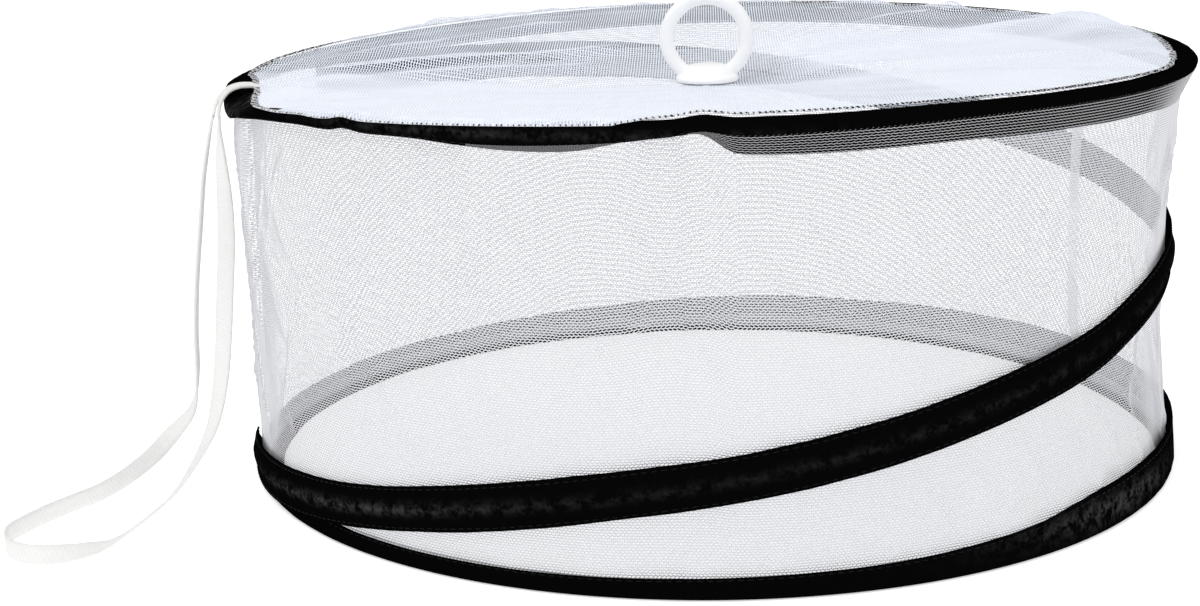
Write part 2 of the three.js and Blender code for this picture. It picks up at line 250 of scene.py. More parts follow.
@dataclass(frozen=True)
class Along:
    """A value that changes smoothly along an angle or a distance, through a few chosen points."""

    points: tuple[tuple[float, float], ...]
    period: float = 0.0

    def at(self, place: float) -> float:
        """The value at a place.

        Args:
            place: the angle or distance. Past the last point the value stays, unless there is a period.

        Returns:
            The value on a cubic curve through the points.
        """
        pts = self._knots
        if self.period:
            place = (place - self.points[0][0]) % self.period + self.points[0][0]
        place = min(max(place, pts[0][0]), pts[-1][0])
        k = min(max(bisect_right(pts, place, key=lambda knot: knot[0]) - 1, 0), len(pts) - 2)
        (p0, v0, s0), (p1, v1, s1) = pts[k], pts[k + 1]
        run = p1 - p0
        share = (place - p0) / run
        cube, square = share**3, share**2
        start = (2 * cube - 3 * square + 1) * v0 + (cube - 2 * square + share) * s0 * run
        return start + (3 * square - 2 * cube) * v1 + (cube - square) * s1 * run

    @cached_property
    def _knots(self) -> list[tuple[float, float, float]]:
        """Each point's place, value and slope, with the points past a period's two ends."""
        pts = list(self.points)
        if self.period:
            pts = [(pts[-1][0] - self.period, pts[-1][1]), *pts]
            pts += [(p + self.period, v) for p, v in pts[1:3]]
        knots = []
        for k, (place, value) in enumerate(pts):
            low, high = pts[max(k - 1, 0)], pts[min(k + 1, len(pts) - 1)]
            knots.append((place, value, (high[1] - low[1]) / (high[0] - low[0])))
        return knots


def around(*points: tuple[float, float]) -> Along:
    """A value that repeats every turn of the drum."""
    return Along(tuple(sorted(points)), 360.0)


# ---------------------------------------------------------------- meshes


def new_object(name: str, mesh: bpy.types.Mesh) -> bpy.types.Object:
    """Puts a mesh in the scene under a name."""
    piece = bpy.data.objects.new(name, mesh)
    bpy.context.scene.collection.objects.link(piece)
    return piece


def grid_mesh(
    name: str,
    columns: int,
    rows: int,
    point: Callable[[float, float], Point],
    chart: Callable[[float, float], tuple[float, float]],
    closed_columns: bool = False,
    closed_rows: bool = False,
    caps: bool = False,
) -> bpy.types.Object:
    """Builds a sheet or a tube from a grid of points.

    Args:
        name: the new object's name.
        columns: steps along the first direction.
        rows: steps along the second direction.
        point: the place in millimetres of two shares, each from 0 to 1.
        chart: the pattern coordinates in metres of two shares.
        closed_columns: whether the last column meets the first.
        closed_rows: whether the last row meets the first.
        caps: whether a tube's two open ends are filled.

    Returns:
        The new object, smooth shaded, with its pattern coordinates in a UV map.
    """
    across = columns if closed_columns else columns + 1
    down = rows if closed_rows else rows + 1
    places = [
        tuple(c * MM for c in point(i / columns, j / rows)) for i in range(across) for j in range(down)
    ]
    faces, uvs = [], []
    for i in range(columns):
        for j in range(rows):
            corners = ((i, j), (i + 1, j), (i + 1, j + 1), (i, j + 1))
            faces.append([(a % across) * down + b % down for a, b in corners])
            uvs += [chart(a / columns, b / rows) for a, b in corners]
    if caps:
        first = list(range(down))
        last = [(across - 1) * down + j for j in range(down)]
        faces += [first, last[::-1]]
        uvs += [(0.0, 0.0)] * (2 * down)
    mesh = bpy.data.meshes.new(name)
    mesh.from_pydata(places, [], faces)
    layer = mesh.uv_layers.new(name="Pattern")
    for loop, uv in zip(layer.data, uvs, strict=True):
        loop.uv = uv
    mesh.polygons.foreach_set("use_smooth", [True] * len(mesh.polygons))
    mesh.update()
    return new_object(name, mesh)


def turned(name: str, profile: Sequence[tuple[float, float]], segments: int = 64) -> bpy.types.Object:
    """A round piece turned about Z from a closed profile.

    Args:
        name: the new object's name.
        profile: (radius, height) points in millimetres, counter-clockwise, ending where they start.
        segments: steps round the axis.

    Returns:
        The new object.
    """
    last = len(profile) - 1
    piece = grid_mesh(
        name,
        segments,
        last,
        lambda u, v: polar(profile[round(v * last)][0], 360 * u, profile[round(v * last)][1]),
        lambda u, v: (u * 0.06, v * 0.02),
        closed_columns=True,
    )
    return outwards(piece)


def outwards(piece: bpy.types.Object, merge: float = 1e-6) -> bpy.types.Object:
    """Merges a closed piece's doubled points and turns its faces outwards."""
    work = bmesh.new()
    work.from_mesh(piece.data)
    bmesh.ops.remove_doubles(work, verts=work.verts, dist=merge)
    bmesh.ops.dissolve_degenerate(work, edges=work.edges, dist=merge)
    bmesh.ops.recalc_face_normals(work, faces=work.faces)
    work.to_mesh(piece.data)
    work.free()
    return piece


def settled(piece: bpy.types.Object) -> bpy.types.Object:
    """Turns a piece with modifiers into a plain mesh."""
    graph = bpy.context.evaluated_depsgraph_get()
    mesh = bpy.data.meshes.new_from_object(piece.evaluated_get(graph))
    old = piece.data
    piece.modifiers.clear()
    piece.data = mesh
    bpy.data.meshes.remove(old)
    mesh.polygons.foreach_set("use_smooth", [True] * len(mesh.polygons))
    return piece


def painted(
    piece: bpy.types.Object, layer: str, value: Callable[[float, float], float]
) -> bpy.types.Object:
    """Stores a number on every point of a piece.

    Args:
        piece: the piece.
        layer: the attribute's name.
        value: gives the number from a point's angle and height in millimetres.

    Returns:
        The piece.
    """
    points = [v.co for v in piece.data.vertices]
    values = [value(math.degrees(math.atan2(p.y, p.x)) % 360, p.z / MM) for p in points]
    piece.data.attributes.new(layer, "FLOAT", "POINT").data.foreach_set("value", values)
    return piece


def thickened(piece: bpy.types.Object, thickness: float) -> bpy.types.Object:
    """Gives a sheet a thickness in millimetres, half to each side, with its edges closed."""
    solid = piece.modifiers.new("Thickness", "SOLIDIFY")
    solid.thickness = thickness * MM
    solid.offset = 0.0
    solid.use_even_offset = True
    return settled(piece)


def flattens(piece: bpy.types.Object, keep: float) -> None:
    """Lets a piece of the base flatten as the upper hoop comes down.

    Args:
        piece: the piece.
        keep: how much of its height is left when the hoop is down.
    """
    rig.ride(piece, Body.BASE.value)
    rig.squash(piece, "collapse", axis=(0, 0, 1), anchor=(0, 0, 0), keep=keep)


# ---------------------------------------------------------------- shader helpers


@dataclass
class Wiring:
    """Builds a node tree in few words."""

    tree: bpy.types.NodeTree

    def add(self, kind: str, settings: dict | None = None, **inputs: object) -> bpy.types.Node:
        """Adds one node.

        Args:
            kind: the node's type name.
            settings: attributes of the node itself.
            inputs: socket names, with _ for spaces, to a value or to a socket to link from.

        Returns:
            The node.
        """
        node = self.tree.nodes.new(kind)
        for key, value in (settings or {}).items():
            setattr(node, key, value)
        for key, value in inputs.items():
            name = int(key[1:]) if key[1:].isdigit() and key[0] == "i" else key.replace("_", " ")
            socket = node.inputs[name]
            if isinstance(value, bpy.types.NodeSocket):
                self.tree.links.new(value, socket)
            else:
                socket.default_value = value
        return node

    def math(self, operation: str, a: object, b: object = 0.0, c: object = 0.0) -> bpy.types.NodeSocket:
        """The output of a Math node."""
        return self.add("ShaderNodeMath", {"operation": operation}, i0=a, i1=b, i2=c).outputs[0]

    def ramp(self, value: object, low: float, high: float) -> bpy.types.NodeSocket:
        """A smooth rise from 0 at low to 1 at high."""
        kind = {"interpolation_type": "SMOOTHSTEP"}
        node = self.add("ShaderNodeMapRange", kind, Value=value, From_Min=low, From_Max=high)
        return node.outputs["Result"]

    def relief(self, height: object, strength: float, distance: float) -> bpy.types.NodeSocket:
        """The normals of a small relief."""
        bump = self.add("ShaderNodeBump", Height=height, Strength=strength, Distance=distance)
        return bump.outputs[0]

    def pattern(self) -> bpy.types.NodeSocket:
        """The piece's pattern coordinates."""
        return self.add("ShaderNodeUVMap", {"uv_map": "Pattern"}).outputs[0]

    def blend(self, share: object, low: object, high: object) -> bpy.types.NodeSocket:
        """A colour mixed from two others."""
        node = self.add("ShaderNodeMix", {"data_type": "RGBA"}, i0=share, i6=low, i7=high)
        return node.outputs[2]


def shader_group(
    name: str, inputs: dict[str, tuple[str, object]], outputs: dict[str, str]
) -> tuple[Wiring, bpy.types.Node, bpy.types.Node]:
    """An empty shader node group with named sockets.

    Args:
        name: the group's name.
        inputs: socket name to (socket type, default value).
        outputs: socket name to socket type.

    Returns:
        The group's wiring, its input node and its output node.
    """
    tree = bpy.data.node_groups.new(name, "ShaderNodeTree")
    for title, (kind, default) in inputs.items():
        socket = tree.interface.new_socket(title, in_out="INPUT", socket_type=kind)
        if default is not None:
            socket.default_value = default
    for title, kind in outputs.items():
        tree.interface.new_socket(title, in_out="OUTPUT", socket_type=kind)
    wires = Wiring(tree)
    return wires, tree.nodes.new("NodeGroupInput"), tree.nodes.new("NodeGroupOutput")


def net_group() -> bpy.types.NodeTree:
    """Knitted netting: rows of staggered oval holes. Puts out Alpha, Height and Thread."""
    numbers = {"Cell Width": 0.0019, "Cell Height": 0.0011, "Hole Width": 0.4, "Hole Height": 0.36,
               "Stagger": 0.5}
    inputs = {"Chart": ("NodeSocketVector", None)}
    inputs |= {title: ("NodeSocketFloat", value) for title, value in numbers.items()}
    outputs = {"Alpha": "NodeSocketFloat", "Height": "NodeSocketFloat", "Thread": "NodeSocketFloat"}
    w, given, result = shader_group("Netting cells", inputs, outputs)
    chart = w.add("ShaderNodeSeparateXYZ", Vector=given.outputs["Chart"])
    turn = w.math("MULTIPLY", chart.outputs["X"], math.tau)
    ripple = w.math("SINE", w.math("DIVIDE", turn, given.outputs["Cell Width"]))
    level = w.math("DIVIDE", chart.outputs["Y"], given.outputs["Cell Height"])
    y = w.math("MULTIPLY_ADD", ripple, 0.1, level)
    row = w.math("FLOOR", y)
    shift = w.math("MULTIPLY", w.math("FLOORED_MODULO", row, 2.0), given.outputs["Stagger"])
    x = w.math("ADD", w.math("DIVIDE", chart.outputs["X"], given.outputs["Cell Width"]), shift)
    across = w.math("SUBTRACT", w.math("FRACT", x), 0.5)
    up = w.math("SUBTRACT", w.math("FRACT", y), 0.5)
    wide = w.math("POWER", w.math("ABSOLUTE", w.math("DIVIDE", across, given.outputs["Hole Width"])), 2.2)
    tall = w.math("POWER", w.math("ABSOLUTE", w.math("DIVIDE", up, given.outputs["Hole Height"])), 2.2)
    away = w.math("ADD", wide, tall)
    w.tree.links.new(w.ramp(away, 0.85, 1.15), result.inputs["Alpha"])
    w.tree.links.new(w.ramp(away, 0.9, 2.2), result.inputs["Height"])
    filament = w.math("SINE", w.math("MULTIPLY", w.math("ADD", x, w.math("MULTIPLY", y, 2.0)), 12.0))
    w.tree.links.new(w.math("MULTIPLY_ADD", filament, 0.5, 0.5), result.inputs["Thread"])
    return w.tree


def weave_group() -> bpy.types.NodeTree:
    """Plain weave of two sets of threads. Puts out Height and Shade."""
    inputs = {
        "Chart": ("NodeSocketVector", None),
        "Pitch": ("NodeSocketFloat", 0.0004),
        "Unevenness": ("NodeSocketFloat", 0.25),
    }
    outputs = {"Height": "NodeSocketFloat", "Shade": "NodeSocketFloat"}
    w, given, result = shader_group("Woven threads", inputs, outputs)
    chart = w.add("ShaderNodeSeparateXYZ", Vector=given.outputs["Chart"])
    turn = w.math("DIVIDE", math.pi, given.outputs["Pitch"])
    warp = w.math("SINE", w.math("MULTIPLY", chart.outputs["X"], turn))
    weft = w.math("SINE", w.math("MULTIPLY", chart.outputs["Y"], turn))
    over = w.math("MULTIPLY", warp, weft)
    uneven = w.add("ShaderNodeTexNoise", Vector=given.outputs["Chart"], Scale=900.0, Detail=2.0)
    drift = w.math("MULTIPLY", w.math("SUBTRACT", uneven.outputs[0], 0.5), given.outputs["Unevenness"])
    height = w.math("ADD", w.math("MULTIPLY_ADD", over, 0.5, 0.5), drift)
    w.tree.links.new(height, result.inputs["Height"])
    w.tree.links.new(w.math("MULTIPLY_ADD", height, 0.5, 0.5), result.inputs["Shade"])
    return w.tree


def patch_group() -> bpy.types.NodeTree:
    """Slow variation over a piece, for tone, sheen and rub marks. Puts out Broad and Fine."""
    inputs = {
        "Place": ("NodeSocketVector", None),
        "Broad Scale": ("NodeSocketFloat", 30.0),
        "Fine Scale": ("NodeSocketFloat", 260.0),
    }
    outputs = {"Broad": "NodeSocketFloat", "Fine": "NodeSocketFloat"}
    w, given, result = shader_group("Patches", inputs, outputs)
    for title, scale, detail in (("Broad", "Broad Scale", 2.0), ("Fine", "Fine Scale", 4.0)):
        cloud = w.add(
            "ShaderNodeTexNoise", Vector=given.outputs["Place"], Scale=given.outputs[scale], Detail=detail
        )
        w.tree.links.new(cloud.outputs[0], result.inputs[title])
    return w.tree


@dataclass
class Groups:
    """The shader groups that several finishes share."""

    net: bpy.types.NodeTree = field(default_factory=net_group)
    weave: bpy.types.NodeTree = field(default_factory=weave_group)
    patches: bpy.types.NodeTree = field(default_factory=patch_group)


def clouds(w: Wiring, groups: Groups, **scales: float) -> bpy.types.Node:
    """The slow variation over a piece, on Object coordinates."""
    place = w.add("ShaderNodeTexCoord").outputs["Object"]
    return w.add("ShaderNodeGroup", {"node_tree": groups.patches}, Place=place, **scales)


def blank_material(name: str) -> tuple[Wiring, bpy.types.Material]:
    """An empty node material."""
    material = bpy.data.materials.new(name)
    material.use_nodes = True
    material.node_tree.nodes.clear()
    return Wiring(material.node_tree), material


def finish_material(w: Wiring, **inputs: object) -> bpy.types.Node:
    """Adds the surface shader and the output to a material."""
    surface = w.add("ShaderNodeBsdfPrincipled", **inputs)
    output = w.add("ShaderNodeOutputMaterial")
    w.tree.links.new(surface.outputs[0], output.inputs["Surface"])
    return surface


# ---------------------------------------------------------------- finishes


@dataclass(frozen=True)
class NettingFinish:
    """Fine white knitted netting that lets what is behind it show through its holes."""

    name: str
    cell_width: float = 1.75
    cell_height: float = 1.05
    hole_width: float = 0.44
    hole_height: float = 0.33
    stagger: float = 0.5
    shade: tuple[float, float, float] = (0.635, 0.64, 0.67)
    light: tuple[float, float, float] = (0.675, 0.68, 0.71)
    bunch: float = 0.0
    closing: float = 0.0

    def material(self, groups: Groups) -> bpy.types.Material:
        """The netting's material.

        Args:
            groups: the shared shader groups.

        Returns:
            A material that reads the Pattern UV map, and the Bunch attribute where bunch is not 0.
        """
        w, material = blank_material(self.name)
        cells = w.add(
            "ShaderNodeGroup",
            {"node_tree": groups.net},
            Chart=w.pattern(),
            Cell_Width=self.cell_width * MM,
            Cell_Height=self.cell_height * MM,
            Hole_Width=self.hole_width,
            Hole_Height=self.hole_height,
            Stagger=self.stagger,
        )
        patches = clouds(w, groups)
        drift = w.math("MULTIPLY", patches.outputs["Broad"], 0.5)
        tone = w.math("MULTIPLY_ADD", cells.outputs["Thread"], 0.5, drift)
        colour = w.blend(tone, (*self.shade, 1.0), (*self.light, 1.0))
        alpha = cells.outputs["Alpha"]
        if self.bunch:
            doubled = w.add("ShaderNodeAttribute", {"attribute_name": "Bunch"}).outputs["Fac"]
            alpha = w.math("MAXIMUM", alpha, w.math("MULTIPLY", doubled, self.bunch))
        if self.closing:
            facing = w.add("ShaderNodeLayerWeight", Blend=0.5).outputs["Facing"]
            closed = w.math("MULTIPLY", w.ramp(facing, 0.66, 0.93), self.closing)
            alpha = w.math("MAXIMUM", alpha, closed)
        bump = w.relief(cells.outputs["Height"], 0.3, 0.0003)
        finish_material(
            w, Base_Color=colour, Roughness=0.8, Alpha=alpha, Normal=bump, Specular_IOR_Level=0.2
        )
        return material


@dataclass(frozen=True)
class SleeveFinish:
    """Black satin-faced binding fabric that shines a little where it is rubbed."""

    name: str = "black_binding"
    pitch: float = 0.42
    shade: tuple[float, float, float] = (0.0008, 0.0008, 0.0009)
    light: tuple[float, float, float] = (0.0022, 0.0022, 0.0024)

    def material(self, groups: Groups) -> bpy.types.Material:
        """The sleeve's material, on the Pattern UV map and the Sheen attribute."""
        w, material = blank_material(self.name)
        weave = {"node_tree": groups.weave}
        threads = w.add("ShaderNodeGroup", weave, Chart=w.pattern(), Pitch=self.pitch * MM)
        patches = clouds(w, groups, Broad_Scale=240.0, Fine_Scale=700.0)
        colour = w.blend(threads.outputs["Shade"], (*self.shade, 1.0), (*self.light, 1.0))
        rough = w.math("MULTIPLY_ADD", patches.outputs["Fine"], 0.25, 0.5)
        worn = w.math("ADD", patches.outputs["Broad"], w.math("MULTIPLY", patches.outputs["Fine"], 0.8))
        rubbed = w.add("ShaderNodeAttribute", {"attribute_name": "Sheen"}).outputs["Fac"]
        lift = w.math("ADD", w.math("MULTIPLY", threads.outputs["Height"], 0.3), patches.outputs["Fine"])
        bump = w.relief(lift, 0.7, 0.0004)
        finish_material(
            w,
            Base_Color=colour,
            Roughness=rough,
            Specular_IOR_Level=0.0,
            Coat_Weight=w.math("MULTIPLY", rubbed, w.ramp(worn, 0.72, 1.15)),
            Coat_Roughness=0.4,
            Normal=bump,
        )
        return material


@dataclass(frozen=True)
class TapeFinish:
    """Flat white woven tape with fine ribs across it."""

    name: str = "white_woven_tape"
    rib: float = 0.9
    shade: tuple[float, float, float] = (0.72, 0.72, 0.70)
    light: tuple[float, float, float] = (0.84, 0.84, 0.825)

    def material(self, groups: Groups) -> bpy.types.Material:
        """The tape's material, on the Pattern UV map."""
        w, material = blank_material(self.name)
        weave = {"node_tree": groups.weave}
        threads = w.add("ShaderNodeGroup", weave, Chart=w.pattern(), Pitch=self.rib * MM)
        patches = clouds(w, groups)
        tone = w.math(
            "MULTIPLY_ADD", threads.outputs["Shade"], 0.6, w.math("MULTIPLY", patches.outputs["Fine"], 0.5)
        )
        colour = w.blend(tone, (*self.shade, 1.0), (*self.light, 1.0))
        bump = w.relief(threads.outputs["Height"], 0.5, 0.0002)
        finish_material(w, Base_Color=colour, Roughness=0.75, Normal=bump, Specular_IOR_Level=0.25)
        return material


@dataclass(frozen=True)
class PlasticFinish:
    """Glossy white moulded plastic with faint flow marks and small scuffs."""

    name: str = "white_moulded_plastic"

    def material(self, groups: Groups) -> bpy.types.Material:
        """The plastic's material, on Object coordinates."""
        w, material = blank_material(self.name)
        patches = clouds(w, groups, Broad_Scale=60.0, Fine_Scale=900.0)
        colour = w.blend(patches.outputs["Broad"], (0.92, 0.925, 0.93, 1.0), (0.97, 0.972, 0.975, 1.0))
        rough = w.math("MULTIPLY_ADD", patches.outputs["Fine"], 0.16, 0.22)
        bump = w.relief(patches.outputs["Fine"], 0.12, 0.0001)
        finish_material(w, Base_Color=colour, Roughness=rough, Normal=bump, IOR=1.46)
        return material


@dataclass(frozen=True)
class MetalFinish:
    """Drawn or plated steel with fine lines along it."""

    name: str
    shade: tuple[float, float, float]
    light: tuple[float, float, float]
    rough: float

    def material(self, groups: Groups) -> bpy.types.Material:
        """The metal's material, on Object coordinates."""
        w, material = blank_material(self.name)
        patches = clouds(w, groups, Fine_Scale=1500.0)
        colour = w.blend(patches.outputs["Broad"], (*self.shade, 1.0), (*self.light, 1.0))
        rough = w.math("MULTIPLY_ADD", patches.outputs["Fine"], 0.2, self.rough)
        bump = w.relief(patches.outputs["Fine"], 0.2, 0.0001)
        finish_material(w, Base_Color=colour, Metallic=1.0, Roughness=rough, Normal=bump)
        return material


@dataclass(frozen=True)
class ThreadFinish:
    """Sewing thread, twisted along its length."""

    name: str
    shade: tuple[float, float, float]
    light: tuple[float, float, float]

    def material(self, groups: Groups) -> bpy.types.Material:
        """The thread's material, on Object coordinates."""
        w, material = blank_material(self.name)
        patches = clouds(w, groups, Fine_Scale=2500.0)
        colour = w.blend(patches.outputs["Fine"], (*self.shade, 1.0), (*self.light, 1.0))
        bump = w.relief(patches.outputs["Fine"], 0.3, 0.0001)
        finish_material(w, Base_Color=colour, Roughness=0.7, Normal=bump, Specular_IOR_Level=0.1)
        return material


@dataclass
class Finishes:
    """Every finish on the cover, built once."""

    groups: Groups = field(default_factory=Groups)
    made: dict[str, bpy.types.Material] = field(default_factory=dict)

    def __post_init__(self) -> None:
        """Builds the materials."""
        recipes = {
            "sleeve": SleeveFinish(),
            "wall": NettingFinish("side_netting_knit", cell_width=1.4, cell_height=0.88, closing=0.9),
            "seam": NettingFinish(
                "seam_netting_knit",
                cell_width=1.4,
                cell_height=0.88,
                hole_height=0.2,
                shade=(0.90, 0.90, 0.92),
                light=(0.95, 0.95, 0.97),
            ),
            "strip": NettingFinish(
                "stretched_netting_knit",
                hole_width=0.56,
                hole_height=0.41,
                shade=(0.30, 0.30, 0.31),
                light=(0.52, 0.52, 0.54),
                closing=0.9,
            ),
            "panel": NettingFinish(
                "top_netting_knit",
                cell_width=1.05,
                cell_height=1.9,
                hole_width=0.31,
                hole_height=0.44,
                stagger=0.2,
                shade=(0.75, 0.80, 0.90),
                light=(0.85, 0.885, 0.955),
                bunch=1.0,
            ),
            "tape": TapeFinish(),
            "plastic": PlasticFinish(),
            "spring": MetalFinish("drawn_spring_steel", (0.30, 0.31, 0.33), (0.45, 0.46, 0.48), 0.3),
            "crimp": MetalFinish("plated_crimp", (0.52, 0.53, 0.54), (0.68, 0.69, 0.70), 0.25),
            "black_thread": ThreadFinish(
                "black_sewing_thread", (0.002, 0.002, 0.002), (0.012, 0.012, 0.013)
            ),
            "white_thread": ThreadFinish(
                "white_sewing_thread", (0.72, 0.73, 0.76), (0.88, 0.88, 0.90)
            ),
        }
        self.made = {key: recipe.material(self.groups) for key, recipe in recipes.items()}

    def dress(self, piece: bpy.types.Object, key: str, slot: Slot) -> None:
        """Gives a piece its material and names the record slot it stands for."""
        piece.data.materials.clear()
        piece.data.materials.append(self.made[key])
        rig.slot(piece, slot.value)


# ---------------------------------------------------------------- stitching


def stitch_tree() -> bpy.types.NodeTree:
    """Geometry nodes that lay thread stitches along an edge path.

    Returns:
        A tree with the inputs Spacing, Length, Thickness, Slant, Wander and Thread. The path's points
        carry an up vector in the attribute Up.
    """
    tree = bpy.data.node_groups.new("Stitch row", "GeometryNodeTree")
    face = tree.interface
    face.new_socket("Geometry", in_out="INPUT", socket_type="NodeSocketGeometry")
    sizes = {"Spacing": 0.003, "Length": 0.0022, "Thickness": 0.0004, "Slant": 0.0, "Wander": 0.1}
    for title, value in sizes.items():
        face.new_socket(title, in_out="INPUT", socket_type="NodeSocketFloat").default_value = value
    face.new_socket("Thread", in_out="INPUT", socket_type="NodeSocketMaterial")
    face.new_socket("Geometry", in_out="OUTPUT", socket_type="NodeSocketGeometry")
    w = Wiring(tree)
    given = tree.nodes.new("NodeGroupInput").outputs
    up = w.add("GeometryNodeInputNamedAttribute", {"data_type": "FLOAT_VECTOR"}, Name="Up").outputs[0]
    curve = w.add("GeometryNodeMeshToCurve", Mesh=given["Geometry"]).outputs[0]
    row = w.add("GeometryNodeResampleCurve", {"mode": "LENGTH"}, Curve=curve, Length=given["Spacing"])
    tangent = tree.nodes.new("GeometryNodeInputTangent").outputs[0]
    along = w.add("FunctionNodeAlignRotationToVector", {"axis": "X", "pivot_axis": "AUTO"}, Vector=tangent)
    upright = w.add(
        "FunctionNodeAlignRotationToVector",
        {"axis": "Z", "pivot_axis": "X"},
        Rotation=along.outputs[0],
        Vector=up,
    )
    wander = w.add("FunctionNodeRandomValue", {"data_type": "FLOAT"}, Seed=7)
    wander.inputs[2].default_value, wander.inputs[3].default_value = -1.0, 1.0
    angle = w.math("MULTIPLY_ADD", wander.outputs[1], given["Wander"], given["Slant"])
    turn = w.add("ShaderNodeCombineXYZ", Z=angle).outputs[0]
    slanted = w.add(
        "FunctionNodeRotateRotation",
        {"rotation_space": "LOCAL"},
        Rotation=upright.outputs[0],
        Rotate_By=turn,
    )
    bead = w.add("GeometryNodeMeshUVSphere", Segments=6, Rings=4, Radius=0.5).outputs[0]
    size = w.add("ShaderNodeCombineXYZ", X=given["Length"], Y=given["Thickness"], Z=given["Thickness"])
    laid = w.add(
        "GeometryNodeInstanceOnPoints",
        Points=row.outputs[0],
        Instance=bead,
        Rotation=slanted.outputs[0],
        Scale=size.outputs[0],
    )
    real = w.add("GeometryNodeRealizeInstances", Geometry=laid.outputs[0]).outputs[0]
    dressed = w.add("GeometryNodeSetMaterial", Geometry=real, Material=given["Thread"]).outputs[0]
    w.add("NodeGroupOutput", Geometry=dressed)
    return tree


@dataclass
class StitchRow:
    """One row of stitches along a path on a piece."""

    name: str
    spacing: float
    length: float
    thickness: float = 0.35
    slant: float = 0.0
    wander: float = 0.08

    def build(
        self,
        tree: bpy.types.NodeTree,
        path: Sequence[Point],
        ups: Sequence[Point],
        thread: bpy.types.Material,
    ) -> bpy.types.Object:
        """Lays the row.

        Args:
            tree: the stitch tree.
            path: points in millimetres.
            ups: the direction away from the fabric at each point.
            thread: the thread's material.

        Returns:
            The stitches as one plain mesh.
        """
        mesh = bpy.data.meshes.new(self.name)
        edges = [(i, i + 1) for i in range(len(path) - 1)]
        mesh.from_pydata([tuple(c * MM for c in p) for p in path], edges, [])
        lifts = mesh.attributes.new("Up", "FLOAT_VECTOR", "POINT")
        lifts.data.foreach_set("vector", [c for up in ups for c in up])
        row = new_object(self.name, mesh)
        stitches = row.modifiers.new("Stitches", "NODES")
        stitches.node_group = tree
        values = {
            "Spacing": self.spacing * MM,
            "Length": self.length * MM,
            "Thickness": self.thickness * MM,
            "Slant": self.slant,
            "Wander": self.wander,
            "Thread": thread,
        }
        for item in tree.interface.items_tree:
            if item.in_out == "INPUT" and item.name in values:
                stitches[item.identifier] = values[item.name]
        return settled(row)


def sleeve_stitching(name: str) -> StitchRow:
    """The row of stitches that closes a sleeve."""
    return StitchRow(name, spacing=3.2, length=2.5, thickness=0.35)


# ---------------------------------------------------------------- the drum's own shape


